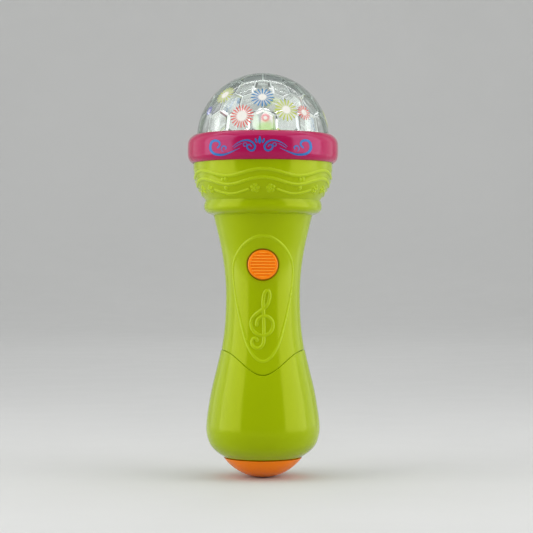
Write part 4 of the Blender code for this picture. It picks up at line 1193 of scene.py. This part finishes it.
def make_switch_knob():
    """The slide knob, with three ridges for the fingertip."""
    low, high = span("power_switch_knob")
    centre_z = (low[2] + high[2]) / 2
    outline = [(low[1], low[2]), (low[1], high[2]), (high[1] - 0.5, high[2])]
    for step in range(7):
        outline.append((high[1] - (0.5 if step % 2 else 0.0), high[2] - 0.35 - step * 0.5))
    outline.append((high[1] - 0.5, low[2]))
    outline = rounded(outline, 0.12, 2)
    knob = prism("switch_knob", [(y, z - centre_z) for y, z in outline], low[0], high[0], [BLACK])
    for vert in knob.data.vertices:
        y, x, z = vert.co
        vert.co = (x, y, z + centre_z * MM)
    with edited(knob.data) as bm:
        bmesh.ops.recalc_face_normals(bm, faces=bm.faces)
    return place(knob, "power_knob", "black_plastic", "power_switch_knob")


# Battery compartment


def make_cells():
    """Two AAA cells: a dark wrap with a copper-coloured band at the button end, and bare steel ends."""
    for name in ("battery_left", "battery_right"):
        low, high = span(name)
        radius, length = (high[0] - low[0]) / 2, high[2] - low[2]
        profile = [(0.0, length), (1.7, length), (1.9, length - 0.2), (1.9, length - 0.9),
                   (4.4, length - 1.0), (4.9, length - 1.2), (radius, length - 1.6), (radius, length - 12.0),
                   (radius, length - 12.1), (radius, 0.6), (4.9, 0.2), (4.6, 0.0), (0.0, 0.0)]
        cell = turned(name.replace("battery", "cell"), profile, [CELL_WRAP, CELL_BAND, STEEL], segments=64,
                      hollow=False)
        for polygon in cell.data.polygons:
            reach = polygon.center.xy.length / MM
            height = polygon.center.z / MM
            if reach < 4.75:
                polygon.material_index = 2
            elif height > length - 12.05:
                polygon.material_index = 1
        centre = middle(name)
        if name == "battery_right":
            cell.data.transform(Matrix.Translation((0.0, 0.0, length * MM)) @ Matrix.Rotation(pi, 4, "X"))
        cell.data.transform(Matrix.Translation(Vector((centre[0], centre[1], low[2])) * MM))
        place(cell, "body", "cell_wrap", name)


def make_spring(name, node, flipped):
    """A conical coil of wire, as a closed tube."""
    low, high = span(node)
    centre = (low + high) / 2
    wire, wide, narrow, turns = 0.3, 4.0, 2.4, 3
    height = high[2] - low[2] - 2 * wire
    share = np.linspace(0.0, 1.0, turns * 28 + 1)
    angle = 2 * pi * turns * share
    radius = wide + (narrow - wide) * share
    level = high[2] - wire - height * share if flipped else low[2] + wire + height * share
    path = np.stack([centre[0] + radius * np.cos(angle), centre[1] + radius * np.sin(angle), level], axis=1)
    ahead = np.gradient(path, axis=0)
    ahead /= np.linalg.norm(ahead, axis=1)[:, None]
    out = np.stack([np.cos(angle), np.sin(angle), 0.0 * angle], axis=1)
    side = np.cross(ahead, out)
    around = full_circle(10)
    rings = [path + wire * (out * cos(turn) + side * sin(turn)) for turn in around]
    verts = np.stack(rings, axis=1).reshape(-1, 3)
    faces = grid_faces(len(path), len(around), around=False) + end_faces(len(path), len(around))
    spring = new_object(name, verts, faces, [COPPER], crease=50.0)
    return place(spring, "body", "plated_steel", node)


def soften_cad_copy(name, node, material, slot, width):
    """The CAD piece with its edges rounded off."""
    obj = add_object(name, frame["nodes"][node].data.copy())
    with edited(obj.data) as bm:
        bmesh.ops.remove_doubles(bm, verts=bm.verts, dist=1e-6)
        bmesh.ops.dissolve_limit(bm, angle_limit=radians(1.0), verts=bm.verts, edges=bm.edges)
    obj.data.materials.clear()
    obj.data.materials.append(material)
    soften(obj, width)
    return place(obj, "body", slot, node)


def finish_cad_nodes():
    """Gives the CAD pieces that still show their procedural materials."""
    slots = {part["node"]: part["material_slot"] for part in frame["record"]["subparts"]}
    for name, node in frame["nodes"].items():
        if node.hide_render:
            continue
        material = SLOT_MATERIALS[slots[name]]
        for slot in node.material_slots:
            slot.material = material
        if not node.material_slots:
            node.data.materials.append(material)


# Studio


def make_stage():
    """A pale floor that curves up into a pale surround."""
    pale = moulded("pale_backdrop", (0.6, 0.6, 0.59), 0.75, variation=0.01, grain=300.0, bump=0.01, patch=3.0)
    reach, height, wall = 3200.0, 2600.0, 40.0
    bowl = rounded([(0.0, 0.0), (reach, 0.0), (reach, height)], 1400.0, 24, closed=False)
    floor = turned("floor", [*bowl, (reach + wall, height), (reach + wall, -wall), (0.0, -wall)], [pale],
                   segments=96, hollow=False)


def area_light(name, position, target, width, height, power):
    """A rectangular lamp, in metres and watts, that faces its target."""
    data = bpy.data.lights.new(name, "AREA")
    data.shape = "RECTANGLE"
    data.size, data.size_y = width, height
    data.energy = power
    light = add_object(name, data)
    light.location = position
    light.rotation_euler = (Vector(target) - Vector(position)).to_track_quat("-Z", "Y").to_euler()


def make_lights():
    """A tall softbox on each side, a dimmer one behind it, a weak top light and lights on the surround.

    Each softbox has a twin that faces outward, so the floor has no edge of light under it.
    """
    away, height = 0.6, 1.03
    for side, label in ((-1, "left"), (1, "right")):
        for name, y, width, power in (("softbox_", -0.26, 0.66, 5.0), ("softbox_rear_", 0.3, 0.44, 1.0)):
            inner, spot, outer = [(side * x, y, height / 2) for x in (0.0, away, 2 * away)]
            area_light(name + label, spot, inner, width, height, power)
            area_light(name + label + "_outward", spot, outer, width, height, power)
    area_light("softbox_top", (0.0, 0.0, 1.3), (0.0, 0.0, 0.1), 1.2, 1.0, 2.8)
    area_light("backdrop_rear", (0.0, 0.9, 1.9), (0.0, 2.8, 0.5), 2.4, 0.6, 26.0)
    area_light("backdrop_front", (0.0, -0.9, 1.9), (0.0, -2.8, 0.5), 2.4, 0.6, 15.0)
    world = bpy.data.worlds.new("studio")
    world.use_nodes = True
    background = world.node_tree.nodes["Background"]
    background.inputs["Color"].default_value = (0.8, 0.83, 0.85, 1.0)
    background.inputs["Strength"].default_value = 0.47
    bpy.context.scene.world = world
    bpy.context.scene.view_settings.view_transform = "Standard"


def make_camera():
    """Level with the middle of the handle and straight in front, with a long lens."""
    distance, height, sideways = 0.9, 0.112, 0.0019
    data = bpy.data.cameras.new("camera")
    data.lens = 126.64 * distance
    data.clip_start, data.clip_end = 0.01, 20.0
    camera = add_object("camera", data)
    camera.location = (sideways, -distance, height)
    camera.rotation_euler = (pi / 2, 0.0, 0.0)
    bpy.context.scene.camera = camera


make_front_shell()
make_rear_shell()
make_sleeve()
make_door()
make_end_cap()
make_ring()
make_flourish()
make_dome()
make_painted_dome_glints()
make_leds()
make_button()
make_button_pad()
for screw in BODY_SCREWS:
    make_screw(screw.replace("body_screw", "shell_screw"), screw, "body", 2.4, 1.6)
make_screw("door_screw", "battery_door_screw", "door", 2.4, 1.5)
make_switch_knob()
make_cells()
make_spring("cell_spring_left", "contact_spring_left", False)
make_spring("cell_spring_right", "contact_spring_right", True)
soften_cad_copy("cell_box", "battery_box", BLACK, "black_plastic", 0.2)
finish_cad_nodes()
make_stage()
make_lights()
make_camera()
